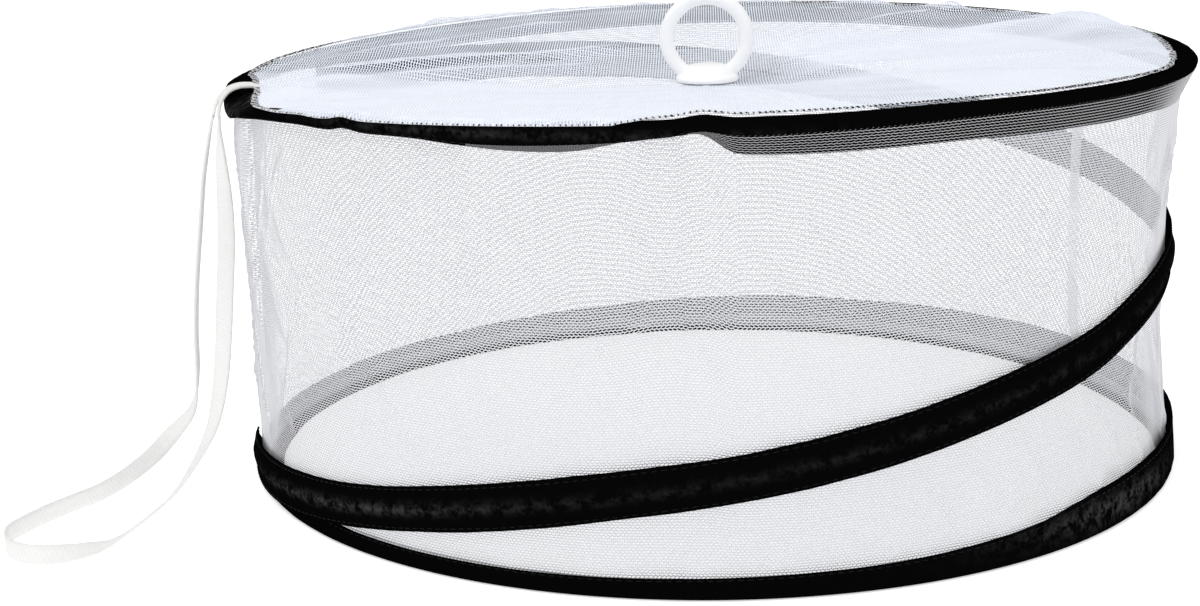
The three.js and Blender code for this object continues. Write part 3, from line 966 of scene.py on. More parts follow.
@dataclass(frozen=True)
class Drum:
    """The cover's overall form, in millimetres and degrees. Everything sewn follows it."""

    foot_radius: float = field(default_factory=lambda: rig.box("lower_hoop_sleeve")[1][0] / MM)
    rim_mean: float = 150.7
    mean_skirt: float = 9.6
    rim_radius: Along = around(
        (0, 178.2), (90, 178), (150, 178.6), (190, 180), (205, 179.4), (230, 178.2), (300, 178),
    )
    rim_dip: Along = around(
        (180, 0), (189, 0.3), (193, 3.0), (198, 5.4), (204, 3.6), (210, 2.0), (216, 0.8), (224, 0),
    )
    flange_rise: Along = around(
        (0, 0.1), (40, -0.1), (90, -0.1), (140, -0.05), (170, 0.0), (188, 0.05), (193, 0.3), (198, 0.5),
        (205, 0.42), (212, 0.25), (222, 0.08), (240, 0.0), (300, -0.05), (330, 0.1),
    )
    panel_edge: Along = around(
        (0, 168.8), (12, 172), (30, 170.5), (50, 169), (75, 169), (95, 171), (112, 176), (135, 177.2),
        (165, 176.8), (181, 173.5), (188, 169.5), (197, 169.5), (205, 174.5), (212, 178.2), (222, 178.4),
        (250, 178.2), (262, 177.8), (269, 174.5), (276, 173), (285, 172), (294, 169.8), (301, 169.8),
        (308, 172.4), (318, 173.8), (331, 175.4), (338, 173), (347, 169.6), (353, 168.6),
    )
    skirt: Along = around(
        (0, 11.5), (90, 8.9), (130, 8.6), (165, 6), (185, 3.8), (193, 2.6), (203, 2.2), (210, 2.4),
        (216, 2.8), (221, 3.2), (226, 4.0), (237, 4.6), (245, 6.9), (250, 8.1), (257, 8.1), (262, 5.6),
        (269, 4.8), (273, 10.4), (300, 10.6), (325, 11.4), (339, 12.6),
    )
    skirt_lean: Along = around(
        (0, 6), (25, 3.5), (90, 1.6), (270, 1.6), (300, 2.2), (325, 4.2), (345, 6.4),
    )
    lower_band: Along = around(
        (5, 17), (42, 16.3), (68, 15.3), (84, 15), (107, 12.6), (124, 10.6), (143, 9.6), (163, 8.7),
        (205, 7), (223, 6), (253, 6.2), (270, 7), (290, 8.3), (298, 9.4), (308, 11.4), (313, 13.6),
        (320, 15.6), (340, 17.2),
    )
    coil_height: Along = Along((
        (187.5, 8.0), (202.5, 9.4), (223, 15.4), (245, 26.1), (260, 33.8), (275, 40.9), (290, 48.9),
        (307, 58.7), (319, 65.6), (328, 71.8), (345, 80), (365, 86), (385, 95), (402, 103),
        (430, 116), (455, 126), (480, 131), (500, 133), (517.5, 135),
    ))
    coil_radius: Along = Along((
        (187.5, 176.4), (215, 175.8), (245, 174.4), (270, 173.4), (300, 172.2), (340, 171.4),
        (400, 171.6), (450, 172.2), (517.5, 173.4),
    ))
    coil_half: float = 8.0
    under_panel: float = 1.2
    least_flange: float = 3.0

    def rim(self, deg: float) -> float:
        """The height of the upper sleeve's fold."""
        turn = math.radians(deg)
        tilt = 2.5 * math.cos(turn) - 0.5 * math.sin(turn)
        seam = 1.3 * bell(deg % 360, 269.5, 2.2) + 1.1 * bell(deg % 360, 229, 1.8)
        return self.rim_mean + tilt - 2.0 * math.cos(2 * turn) - self.rim_dip.at(deg) + seam

    def flange(self, deg: float, inward: float) -> float:
        """The height of the upper sleeve's flat leg at a distance inwards from the fold."""
        return self.rim(deg) + self.flange_rise.at(deg) * inward

    def skirt_radius(self, deg: float, depth: float) -> float:
        """The radius of the upper sleeve's hanging leg at a depth below the fold."""
        return self.rim_radius.at(deg) - self.skirt_lean.at(deg) * depth / self.skirt.at(deg)

    def flange_width(self, deg: float) -> float:
        """How far the upper sleeve's flat leg reaches inwards, to just past the panel's edge."""
        reach = self.rim_radius.at(deg) - FOLD_BEND - self.panel_edge.at(deg) + self.under_panel
        return max(reach, self.least_flange)

    def coil_turn(self, deg: float) -> float:
        """The coil's own angle, from its lower end, at this angle round the drum."""
        start = self.coil_height.points[0][0]
        return (deg - start) % 360 + start


# ---------------------------------------------------------------- black sleeves and wires


@dataclass
class FoldedSleeve:
    """A binding tape folded over a hoop's wire: one leg runs inwards, the other along the wall."""

    name: str
    body: Body
    radius: Callable[[float], float]
    fold: Callable[[float], float]
    leg: Callable[[float], float]
    flange: Callable[[float], float]
    lean: Callable[[float], float]
    rise: Callable[[float], float]
    upwards: bool
    sheen: Callable[[float, float], float]
    bend: float = FOLD_BEND
    thickness: float = 0.8
    columns: int = 420
    seed: float = 0.0

    def section(self, deg: float) -> list[tuple[float, float]]:
        """The folded tape's middle line.

        Args:
            deg: the angle round the drum.

        Returns:
            (radius, height) points in millimetres, from the inner edge round the fold to the far edge.
        """
        side = 1.0 if self.upwards else -1.0
        outer, fold = self.radius(deg), self.fold(deg) + side * self.thickness / 2
        flange, leg, bend = self.flange(deg), self.leg(deg), self.bend
        rows = []
        for k in range(6):
            inward = flange * (1 - k / 6)
            rows.append((outer - bend - inward, fold + self.rise(deg) * inward))
        for k in range(7):
            turn = math.pi / 2 * k / 6
            rows.append((outer - bend + bend * math.sin(turn), fold + side * (bend - bend * math.cos(turn))))
        for k in range(1, 9):
            down = (leg - bend) * k / 8
            rows.append((outer - self.lean(deg) * down / max(leg, 1.0), fold + side * (bend + down)))
        return rows

    def wrinkle(self, deg: float, v: float) -> tuple[float, float]:
        """How far a point of the tape is puckered.

        Args:
            deg: the angle round the drum.
            v: the share of the way from the inner edge to the far edge.

        Returns:
            Millimetres outwards and upwards.
        """
        turn = math.radians(deg)
        seat = Vector((3.2 * math.cos(turn), 3.2 * math.sin(turn), self.seed))
        coarse = noise.noise(seat * 2.1 + Vector((0, 0, v * 0.8)))
        fine = noise.noise(seat * 9.0 + Vector((0, 0, v * 2.0)))
        loose = smoothstep(0.5, 1.0, v) + smoothstep(0.45, 0.0, v)
        return 0.5 * coarse * loose + 0.22 * fine, 0.3 * coarse * loose + 0.1 * fine

    def point(self, u: float, v: float) -> Point:
        """A point of the tape's middle line."""
        deg = 360 * u
        rows = self.section(deg)
        r, z = rows[round(v * (len(rows) - 1))]
        out, up = self.wrinkle(deg, v)
        return polar(r + out, deg, z + up)

    def build(self, finishes: Finishes, stitches: bpy.types.NodeTree) -> bpy.types.Object:
        """Builds the sleeve with its stitching.

        Args:
            finishes: the cover's finishes.
            stitches: the stitch tree.

        Returns:
            The sleeve.
        """
        rows = len(self.section(0.0)) - 1
        length = 2 * math.pi * self.radius(0.0) * MM
        sleeve = grid_mesh(
            self.name,
            self.columns,
            rows,
            self.point,
            lambda u, v: (u * length, v * 0.026),
            closed_columns=True,
        )
        thickened(sleeve, self.thickness)
        painted(sleeve, "Sheen", self.sheen)
        finishes.dress(sleeve, "sleeve", Slot.SLEEVE)
        self.sew(finishes, stitches)
        return sleeve

    def sew(self, finishes: Finishes, tree: bpy.types.NodeTree) -> bpy.types.Object:
        """Lays the row of stitches near the tape's far edge."""
        path, ups = [], []
        for k in range(361):
            r, z = self.section(k)[-2]
            out, up = self.wrinkle(k, 1.0)
            path.append(polar(r + out + self.thickness / 2, k, z + up))
            ups.append(polar(1.0, k, 0.0))
        row = sleeve_stitching(f"{self.name}_stitching").build(
            tree, path, ups, finishes.made["black_thread"]
        )
        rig.slot(row, Slot.SLEEVE.value)
        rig.ride(row, self.body.value)
        return row


def wire_tube(
    name: str, path: Callable[[float], Point], steps: int, wire_radius: float, closed: bool
) -> bpy.types.Object:
    """A round wire along a path given by a share from 0 to 1.

    Args:
        name: the new object's name.
        path: the wire's centre in millimetres.
        steps: steps along it.
        wire_radius: in millimetres.
        closed: whether the ends meet.

    Returns:
        The wire.
    """
    sides = 10

    def skin(u: float, v: float) -> Point:
        centre = Vector(path(u))
        outward = Vector((centre.x, centre.y, 0)).normalized()
        turn = 2 * math.pi * v
        return tuple(centre + wire_radius * (math.cos(turn) * outward + math.sin(turn) * Vector((0, 0, 1))))

    tube = grid_mesh(
        name,
        steps,
        sides,
        skin,
        lambda u, v: (u, v * 0.005),
        closed_columns=closed,
        closed_rows=True,
        caps=not closed,
    )
    return outwards(tube)


def ferrule(name: str, centre: Vector, along: Vector, length: float, radius: float) -> bpy.types.Object:
    """A crimped tube on a wire, pinched in three places.

    Args:
        name: the new object's name.
        centre: its middle in millimetres.
        along: the wire's direction.
        length: in millimetres.
        radius: in millimetres.

    Returns:
        The crimp.
    """
    pinches = 24
    half = length / 2
    profile = [(0.6, -half), (radius - 0.25, -half), (radius, -half + 0.3)]
    for k in range(1, pinches):
        z = mix(-half + 0.3, half - 0.3, k / pinches)
        profile.append((radius - 0.32 * max(0.0, math.cos(6 * math.pi * z / length)) ** 4, z))
    profile += [(radius, half - 0.3), (radius - 0.25, half), (0.6, half), (0.6, -half)]
    piece = turned(name, profile, 20)
    place = Matrix.Translation(centre * MM) @ along.to_track_quat("Z", "Y").to_matrix().to_4x4()
    piece.data.transform(place)
    return piece


@dataclass
class Hoops:
    """The lower and upper hoops: wire, crimp and folded sleeve."""

    drum: Drum
    finishes: Finishes
    stitches: bpy.types.NodeTree
    wire_radius: float = 0.8
    lower_flange: Along = around((0, 4), (90, 5), (180, 6), (225, 8), (280, 7), (330, 4))
    lower_join: float = 101.25
    upper_join: float = 71.25

    def build(self) -> None:
        """Builds both hoops."""
        lower = FoldedSleeve(
            "lower_sleeve_tape",
            Body.BASE,
            radius=lambda deg: self.drum.foot_radius,
            fold=lambda deg: 0.0,
            leg=self.drum.lower_band.at,
            flange=self.lower_flange.at,
            lean=lambda deg: 1.2,
            rise=lambda deg: 0.02,
            upwards=True,
            sheen=lambda deg, z: 0.5 * bell(deg, 318, 14) * bell(z, 8, 4),
            seed=3.0,
        )
        upper = FoldedSleeve(
            "upper_sleeve_tape",
            Body.UPPER,
            radius=self.drum.rim_radius.at,
            fold=self.drum.rim,
            leg=self.drum.skirt.at,
            flange=self.drum.flange_width,
            lean=self.drum.skirt_lean.at,
            rise=self.drum.flange_rise.at,
            upwards=False,
            sheen=lambda deg, z: 0.35 * bell(deg, 248, 26) * bell(z, 148.5, 1.6) + 0.3 * bell(deg, 198, 6),
            seed=9.0,
        )
        for sleeve, node in ((lower, "lower_hoop_sleeve"), (upper, "upper_hoop_sleeve")):
            piece = sleeve.build(self.finishes, self.stitches)
            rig.replaces(piece, node)
            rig.ride(piece, sleeve.body.value)
            LOG.info("built %s", piece.name)
        inset = lower.bend + self.wire_radius * 0.6
        self.wire("lower", Body.BASE, lambda d: lower.radius(d) - inset, lambda d: 2.1, self.lower_join)
        self.wire(
            "upper",
            Body.UPPER,
            lambda d: upper.radius(d) - inset,
            lambda d: upper.fold(d) - 2.1,
            self.upper_join,
        )

    def wire(
        self,
        level: str,
        body: Body,
        radius: Callable[[float], float],
        height: Callable[[float], float],
        join: float,
    ) -> None:
        """Builds one hoop's wire and the crimp that closes it.

        Args:
            level: lower or upper.
            body: what it rides on.
            radius: the wire's distance from the axis at an angle.
            height: its height at an angle.
            join: the angle of the crimp.
        """

        def place(deg: float) -> Vector:
            return Vector(polar(radius(deg), deg, height(deg)))

        hoop = wire_tube(f"{level}_spring_wire", lambda u: tuple(place(360 * u)), 240, self.wire_radius, True)
        self.finishes.dress(hoop, "spring", Slot.SPRING)
        along = place(join + 1) - place(join - 1)
        crimp = ferrule(f"{level}_wire_crimp", place(join), along, 12.0, 1.5)
        self.finishes.dress(crimp, "crimp", Slot.CRIMP)
        for piece, node in ((hoop, f"{level}_hoop_wire"), (crimp, f"{level}_hoop_ferrule")):
            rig.replaces(piece, node)
            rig.ride(piece, body.value)


@dataclass
class Coil:
    """The rising coil: wire, end caps and flat sleeve."""

    drum: Drum
    finishes: Finishes
    stitches: bpy.types.NodeTree
    keep: float
    columns: int = 460
    wire_radius: float = 0.8

    def span(self) -> tuple[float, float]:
        """The coil's first and last angle."""
        points = self.drum.coil_height.points
        return points[0][0], points[-1][0]

    def centre(self, deg: float) -> Vector:
        """The middle of the coil at an angle along it."""
        return Vector(polar(self.drum.coil_radius.at(deg), deg, self.drum.coil_height.at(deg)))

    def angle(self, u: float) -> float:
        """The angle at a share of the coil's length."""
        start, end = self.span()
        return mix(start, end, u)

    def wrinkle(self, deg: float, v: float) -> tuple[float, float]:
        """How far a point of the sleeve is puckered, outwards and upwards."""
        seat = Vector((deg * 0.055, v * 1.4, 4.0))
        coarse, fine = noise.noise(seat), noise.noise(seat * 4.5)
        return 0.35 * coarse + 0.22 * fine, 0.7 * coarse + 0.25 * fine

    def half_width(self, u: float) -> float:
        """Half the sleeve's width, drawn in a little at its two ends."""
        return self.drum.coil_half * mix(0.72, 1.0, smoothstep(0.0, 0.03, u) * smoothstep(1.0, 0.96, u))

    def section(self, v: float) -> tuple[float, float]:
        """The sleeve's (outwards, upwards) place at a share round its section, both from -1 to 1."""
        turn = 2 * math.pi * v
        up = math.copysign(abs(math.cos(turn)) ** 0.8, math.cos(turn))
        swell = 0.35 + 0.30 * (1 - up * up) + 1.15 * math.exp(-((up / 0.28) ** 2))
        out = swell * math.copysign(min(1.0, 4.5 * abs(math.sin(turn))), math.sin(turn))
        return out, up

    def point(self, u: float, v: float) -> Point:
        """A point of the sleeve's skin."""
        deg = self.angle(u)
        out, up = self.section(v)
        pucker, wave = self.wrinkle(deg, up)
        r = self.drum.coil_radius.at(deg) + out + pucker
        return polar(r, deg, self.drum.coil_height.at(deg) + up * self.half_width(u) + wave * abs(up))

    def sheen(self, deg: float, height: float) -> float:
        """How much the rubbed crest over the wire shines."""
        turn = self.drum.coil_turn(deg)
        up = height - self.drum.coil_height.at(turn)
        crest = bell(up, 0.0, 1.9)
        return crest * (0.5 * bell(turn, 232, 22) + 0.2 * bell(turn, 285, 40) + 0.1 * bell(turn, 420, 60))

    def build(self) -> None:
        """Builds the coil's pieces."""
        start, end = self.span()
        length = math.radians(end - start) * self.drum.foot_radius * MM
        sleeve = grid_mesh(
            "coil_sleeve_tape",
            self.columns,
            36,
            self.point,
            lambda u, v: (u * length, abs(v - 0.5) * 0.032),
            closed_rows=True,
            caps=True,
        )
        outwards(sleeve)
        painted(sleeve, "Sheen", self.sheen)
        self.finishes.dress(sleeve, "sleeve", Slot.SLEEVE)
        inset = 2.0
        wire = wire_tube(
            "coil_spring_wire",
            lambda u: tuple(self.centre(mix(start + inset, end - inset, u))),
            220,
            self.wire_radius,
            False,
        )
        self.finishes.dress(wire, "spring", Slot.SPRING)
        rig.replaces(sleeve, "coil_sleeve")
        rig.replaces(wire, "coil_wire")
        flattens(sleeve, self.keep)
        flattens(wire, self.keep)
        for level, place in (("lower", start + inset), ("upper", end - inset)):
            along = self.centre(place + 1) - self.centre(place - 1)
            cap = ferrule(f"coil_{level}_wire_cap", self.centre(place), along, 8.0, 1.4)
            self.finishes.dress(cap, "crimp", Slot.CRIMP)
            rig.replaces(cap, f"coil_{level}_end_cap")
            flattens(cap, self.keep)
        for edge in (-1, 1):
            self.sew(edge)
        LOG.info("built %s", sleeve.name)

    def sew(self, edge: int) -> None:
        """Lays a row of stitches along one edge of the sleeve.

        Args:
            edge: -1 for the lower edge, 1 for the upper one.
        """
        path, ups = [], []
        for k in range(361):
            u = mix(0.015, 0.985, k / 360)
            deg = self.angle(u)
            up = edge * 0.84
            pucker, wave = self.wrinkle(deg, up)
            r = self.drum.coil_radius.at(deg) + 0.42 + pucker
            z = self.drum.coil_height.at(deg) + up * self.half_width(u) + wave * abs(up)
            path.append(polar(r, deg, z))
            ups.append(polar(1.0, deg, 0.0))
        name = f"coil_{'lower' if edge < 0 else 'upper'}_stitching"
        thread = self.finishes.made["black_thread"]
        row = sleeve_stitching(name).build(self.stitches, path, ups, thread)
        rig.slot(row, Slot.SLEEVE.value)
        flattens(row, self.keep)


# ---------------------------------------------------------------- netting


@dataclass
class Wall:
    """The side netting, its upright seam, its doubled hem and the strip sewn over the rim's skirt."""

    drum: Drum
    finishes: Finishes
    keep: float
    columns: int = 540
    rows: int = 52
    foot: float = 1.2
    inside_gap: float = 1.6
    outside_gap: float = 1.5
    strip_gap: float = 1.7
    coil_gap: float = 1.9
    foot_gap: float = 2.0
    hem_gap: float = 2.7
    hem_width: float = 5.4
    outside: Along = around(
        (60, 0), (150, 0), (243, 0), (246, 1), (261, 1), (264, 0), (266.5, 0), (268.5, 1), (300, 1),
        (345, 1), (22, 1), (40, 0),
    )
    sewn: Along = around(
        (0, 3.2), (60, 3), (180, 1.5), (225, 3), (247, 6.6), (262, 6.0), (268, 4.6), (275, 5.0), (289, 4.2),
        (300, 3.4), (318, 3.2), (347, 3.0),
    )
    seam: float = 26.25

    def tuck(self, deg: float) -> float:
        """1 where the netting's top is sewn outside the skirt and 0 where it is inside."""
        return min(max(self.outside.at(deg), 0.0), 1.0)

    def top(self, deg: float) -> float:
        """The height where the wall meets the rim's skirt."""
        return self.drum.rim(deg) - self.drum.skirt.at(deg) + mix(0.8, -0.6, self.tuck(deg))

    def radius(self, deg: float, height: float) -> float:
        """The netting's distance from the axis.

        Args:
            deg: the angle.
            height: the height above the table.

        Returns:
            The radius in millimetres: held by the hoops and the coil, and drawn in between them.
        """
        leg = self.drum.skirt_radius(deg, self.drum.skirt.at(deg))
        rim = leg + mix(-self.inside_gap, self.outside_gap, self.tuck(deg))
        turn = self.drum.coil_turn(deg)
        coil = self.drum.coil_height.at(turn)
        at_coil = self.drum.coil_radius.at(turn) - self.coil_gap
        foot = self.drum.foot_radius - self.foot_gap
        top = self.top(deg)
        if height < coil:
            share = min(max(height / max(coil, 1.0), 0.0), 1.0)
            held = mix(foot, at_coil, share)
            free = coil
        else:
            share = min((height - coil) / max(top - coil, 1.0), 1.0)
            held = mix(at_coil, rim, share)
            free = top - coil
        slack = 0.024 * min(free, 110.0) * math.sin(math.pi * share)
        return held - slack * (0.55 + 0.45 * math.cos(math.radians(deg)))

    def crease(self, deg: float, height: float) -> float:
        """The slack netting's folds.

        Args:
            deg: the angle round the drum.
            height: the height above the table.

        Returns:
            Millimetres outwards, and none where a hoop or the coil holds the netting.
        """
        turn = math.radians(deg)
        lean = turn + height * 0.0032
        seat = Vector((math.cos(lean) * 4.4, math.sin(lean) * 4.4, height * 0.006))
        wide = noise.noise(seat)
        sharp = 1.0 - abs(noise.noise(seat * 1.9 + Vector((5, 2, 1)))) * 2.0
        lean2 = turn - height * 0.0045
        other = 1.0 - abs(noise.noise(Vector((math.cos(lean2) * 6.1, math.sin(lean2) * 6.1, 2.5)))) * 2.0
        coil = abs(height - self.drum.coil_height.at(self.drum.coil_turn(deg)))
        held = smoothstep(0, 22, height) * smoothstep(self.top(deg), self.top(deg) - 25, height)
        held *= smoothstep(9.5, 30, coil)
        return (1.3 * wide + 1.5 * max(sharp, 0.0) ** 5 + 1.1 * max(other, 0.0) ** 6) * held

    def point(self, u: float, v: float) -> Point:
        """A point of the wall."""
        deg = 360 * u
        height = mix(self.foot, self.top(deg), v)
        return polar(self.radius(deg, height) + self.crease(deg, height), deg, height)

    def strip_point(self, u: float, v: float) -> Point:
        """A point of the strip of netting that is sewn to the rim's skirt."""
        deg = 360 * u
        height = mix(self.top(deg), max(self.top(deg) + 0.2, self.drum.rim(deg) - self.sewn.at(deg)), v)
        leg = self.drum.skirt_radius(deg, self.drum.rim(deg) - height)
        return polar(leg + mix(-self.inside_gap, self.strip_gap, self.tuck(deg)), deg, height)

    def hem_point(self, u: float, v: float) -> Point:
        """A point of the netting turned up inside at the foot."""
        deg = 360 * u
        height = mix(self.foot, self.foot + self.hem_width, v)
        return polar(self.drum.foot_radius - self.hem_gap, deg, height)

    def build(self) -> None:
        """Builds the netting wall."""
        girth = 2 * math.pi * self.drum.foot_radius * MM
        tall = self.drum.rim_mean * MM
        wall = grid_mesh(
            "side_netting_wall",
            self.columns,
            self.rows,
            self.point,
            lambda u, v: (u * girth, v * tall * 0.935),
            closed_columns=True,
        )
        strip = grid_mesh(
            "side_netting_top_strip",
            self.columns,
            6,
            self.strip_point,
            lambda u, v: (u * girth, tall * (0.935 + 0.06 * v)),
            closed_columns=True,
        )
        hem = grid_mesh(
            "side_netting_hem",
            360,
            4,
            self.hem_point,
            lambda u, v: (u * girth, v * 0.0054 + 0.0004),
            closed_columns=True,
        )
        for piece, finish in ((wall, "wall"), (strip, "strip"), (hem, "wall")):
            self.finishes.dress(piece, finish, Slot.NETTING)
        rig.replaces(wall, "side_netting")
        flattens(wall, self.keep)
        flattens(hem, self.keep)
        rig.ride(strip, Body.UPPER.value)
        self.build_seam()
        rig.sheet(
            wall, flat=(1.09, 0.146), held="stretched", rests_on=["lower_sleeve_tape", "upper_sleeve_tape"],
        )
        LOG.info("built %s", wall.name)

    def build_seam(self) -> None:
        """Builds the folded seam allowance inside the wall."""
        width = 7.0

        def place(u: float, v: float) -> Point:
            deg = self.seam + math.degrees((u - 0.5) * width / self.drum.foot_radius)
            height = mix(self.foot + 2, self.top(deg) - 0.5, v)
            lift = 0.9 + 0.35 * math.sin(math.pi * u) + 0.15 * math.sin(v * 46)
            return polar(self.radius(deg, height) + self.crease(deg, height) - lift, deg, height)

        seam = grid_mesh("side_seam_fold", 8, 60, place, lambda u, v: (u * width * MM, v * 0.14))
        self.finishes.dress(seam, "seam", Slot.NETTING)
        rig.replaces(seam, "side_seam_tape")
        flattens(seam, self.keep)


@dataclass(frozen=True)
class Fold:
    """A soft ridge or valley in the top panel, along a line in plan that fades at both ends."""

    start: tuple[float, float]
    end: tuple[float, float]
    width: float
    height: float

    def at(self, x: float, y: float) -> float:
        """The ridge's height at a place, in millimetres."""
        ax, ay = self.start
        bx, by = self.end
        dx, dy = bx - ax, by - ay
        long = dx * dx + dy * dy
        share = min(max(((x - ax) * dx + (y - ay) * dy) / long, 0.0), 1.0)
        away = math.hypot(x - ax - share * dx, y - ay - share * dy)
        fade = smoothstep(0.0, 0.25, share) * smoothstep(1.0, 0.75, share)
        return self.height * bell(away, 0.0, self.width) * fade


@dataclass
class TopPanel:
    """The loose, puckered top of netting, with its overlocked edge."""

    drum: Drum
    finishes: Finishes
    stitches: bpy.types.NodeTree
    columns: int = 620
    rows: int = 80
    hole: float = 2.6
    flat: float = 13.0
    lift: float = 0.8
    centre: float = field(default_factory=lambda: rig.box("lifting_ring")[0][2] / MM - 0.4)
    folds: tuple[Fold, ...] = (
        Fold((-165, -30), (-20, 40), 7, 2.8),
        Fold((-168, -12), (-60, -6), 5, -2.4),
        Fold((-166, 0), (-10, 70), 6, 3.2),
        Fold((-160, 30), (-40, 130), 8, 3.0),
        Fold((-165, -45), (-110, -75), 6, 2.2),
        Fold((14, 12), (150, 70), 6, 4.2),
        Fold((10, 30), (110, 130), 8, 3.4),
        Fold((18, 2), (150, -30), 7, 2.4),
        Fold((-5, 50), (-40, 160), 12, 2.0),
        Fold((50, -50), (130, -100), 14, 1.4),
    )
    puffs: tuple[tuple[float, float, float, float, float], ...] = (
        (81, 4.5, 163, 8, 3.0), (65, 4.5, 163, 8, 3.6), (50, 5, 161, 9, 4.4), (34, 4, 158, 8, 1.2),
        (19, 8, 157, 11, 6.0), (340, 9, 160, 12, 1.6), (100, 7, 166, 9, 1.4), (118, 9, 166, 10, 3.0),
        (132, 8, 166, 10, 3.4), (147, 8, 164, 10, 2.6),
    )

    def pucker(self, deg: float, share: float) -> float:
        """The gathers along the sewn edge, in millimetres."""
        turn = math.radians(deg)
        seat = Vector((math.cos(turn) * 13, math.sin(turn) * 13, share * 1.5))
        gather = noise.noise(seat) + 0.6 * noise.noise(seat * 2.3)
        return 1.5 * gather * smoothstep(0.72, 0.97, share) * smoothstep(1.0, 0.985, share)

    def height(self, deg: float, share: float) -> float:
        """The panel's height.

        Args:
            deg: the angle round the drum.
            share: the share of the way from the middle to the edge.

        Returns:
            The height in millimetres: on the sleeve at the edge, dipping to the ring, with folds and puffs.
        """
        edge = self.drum.panel_edge.at(deg)
        r = mix(self.hole, edge, share)
        bend_start = self.drum.rim_radius.at(deg) - FOLD_BEND
        rim = self.drum.flange(deg, max(bend_start - edge, 0.0)) + self.lift
        reach = min(max((edge - max(r, self.flat)) / (edge - self.flat), 0.0), 1.0)
        z = rim - (rim - self.centre) * reach**1.5
        x, y, _ = polar(r, deg, 0)
        loose = smoothstep(self.flat, self.flat + 22, r) * smoothstep(1.0, 0.93, share)
        over = min(max(r - bend_start, 0.0), FOLD_BEND)
        z -= FOLD_BEND - math.sqrt(FOLD_BEND * FOLD_BEND - over * over)
        z += sum(fold.at(x, y) for fold in self.folds) * loose
        for angle, wide, middle, deep, tall in self.puffs:
            off = (deg - angle + 180) % 360 - 180
            swell = math.exp(-((off / wide) ** 2) - ((r - middle) / deep) ** 2)
            z += tall * swell * smoothstep(1.0, 0.965, share)
        slow = noise.noise(Vector((x * 0.02, y * 0.02, 1.7)))
        z += (1.6 * slow + 0.35 * noise.noise(Vector((x * 0.09, y * 0.09, 6.1)))) * loose
        return z + self.pucker(deg, share)

    def point(self, u: float, v: float) -> Point:
        """A point of the panel."""
        deg = 360 * u
        share = 1 - (1 - v) ** 1.25
        return polar(mix(self.hole, self.drum.panel_edge.at(deg), share), deg, self.height(deg, share))

    def chart(self, u: float, v: float) -> tuple[float, float]:
        """The panel's pattern coordinates, flat in plan."""
        x, y, _ = self.point(u, v)
        return x * MM, y * MM

    def build(self) -> None:
        """Builds the panel and its edge stitching."""
        panel = grid_mesh("top_netting", self.columns, self.rows, self.point, self.chart, closed_columns=True)
        self.finishes.dress(panel, "panel", Slot.NETTING)
        bunch = panel.data.attributes.new("Bunch", "FLOAT", "POINT")
        values = [self.density(v.co.x / MM, v.co.y / MM) for v in panel.data.vertices]
        bunch.data.foreach_set("value", values)
        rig.replaces(panel, "top_netting_panel")
        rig.ride(panel, Body.UPPER.value)
        self.overlock()
        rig.sheet(
            panel,
            flat=(0.364, 0.364),
            held="gathered",
            rests_on=["upper_sleeve_tape", "ring_foot_and_loop"],
            area=0.104,
        )
        LOG.info("built %s", panel.name)

    def density(self, x: float, y: float) -> float:
        """How closely the gathered threads lie here, from 0 to 1."""
        rear = smoothstep(-45, 0, y + 0.12 * x) * smoothstep(70, 10, x + 0.25 * y)
        rim = smoothstep(55, 95, y)
        lens = math.exp(-(((x - 38) / 24) ** 2) - (((y + 16) / 10) ** 2))
        drift = noise.noise(Vector((x * 0.03, y * 0.05, 8.8)))
        thin = min(max(rear, rim, lens), 1.0)
        return min(max(mix(0.76, 0.06, thin) + 0.3 * drift, 0.0), 0.92)

    def overlock(self) -> None:
        """Lays the white and black overlock threads round the panel's edge."""
        count = 720
        path, ups = [], []
        for k in range(count + 1):
            deg = 360 * k / count
            wave = 0.35 * noise.noise(Vector((deg * 0.9, 0.0, 3.3)))
            r = self.drum.panel_edge.at(deg) - 0.7 + wave
            path.append(polar(r, deg, self.height(deg, 1.0) + 0.35))
            ups.append((0.0, 0.0, 1.0))
        rows = (
            (StitchRow("overlock_white_thread", 1.5, 3.0, 0.5, 1.1, 0.3), "white_thread"),
            (StitchRow("overlock_black_thread", 1.9, 2.6, 0.6, -1.4, 0.35), "black_thread"),
        )
        for row, key in rows:
            piece = row.build(self.stitches, path, ups, self.finishes.made[key])
            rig.slot(piece, Slot.NETTING.value)
            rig.ride(piece, Body.UPPER.value)


# ---------------------------------------------------------------- lifting ring


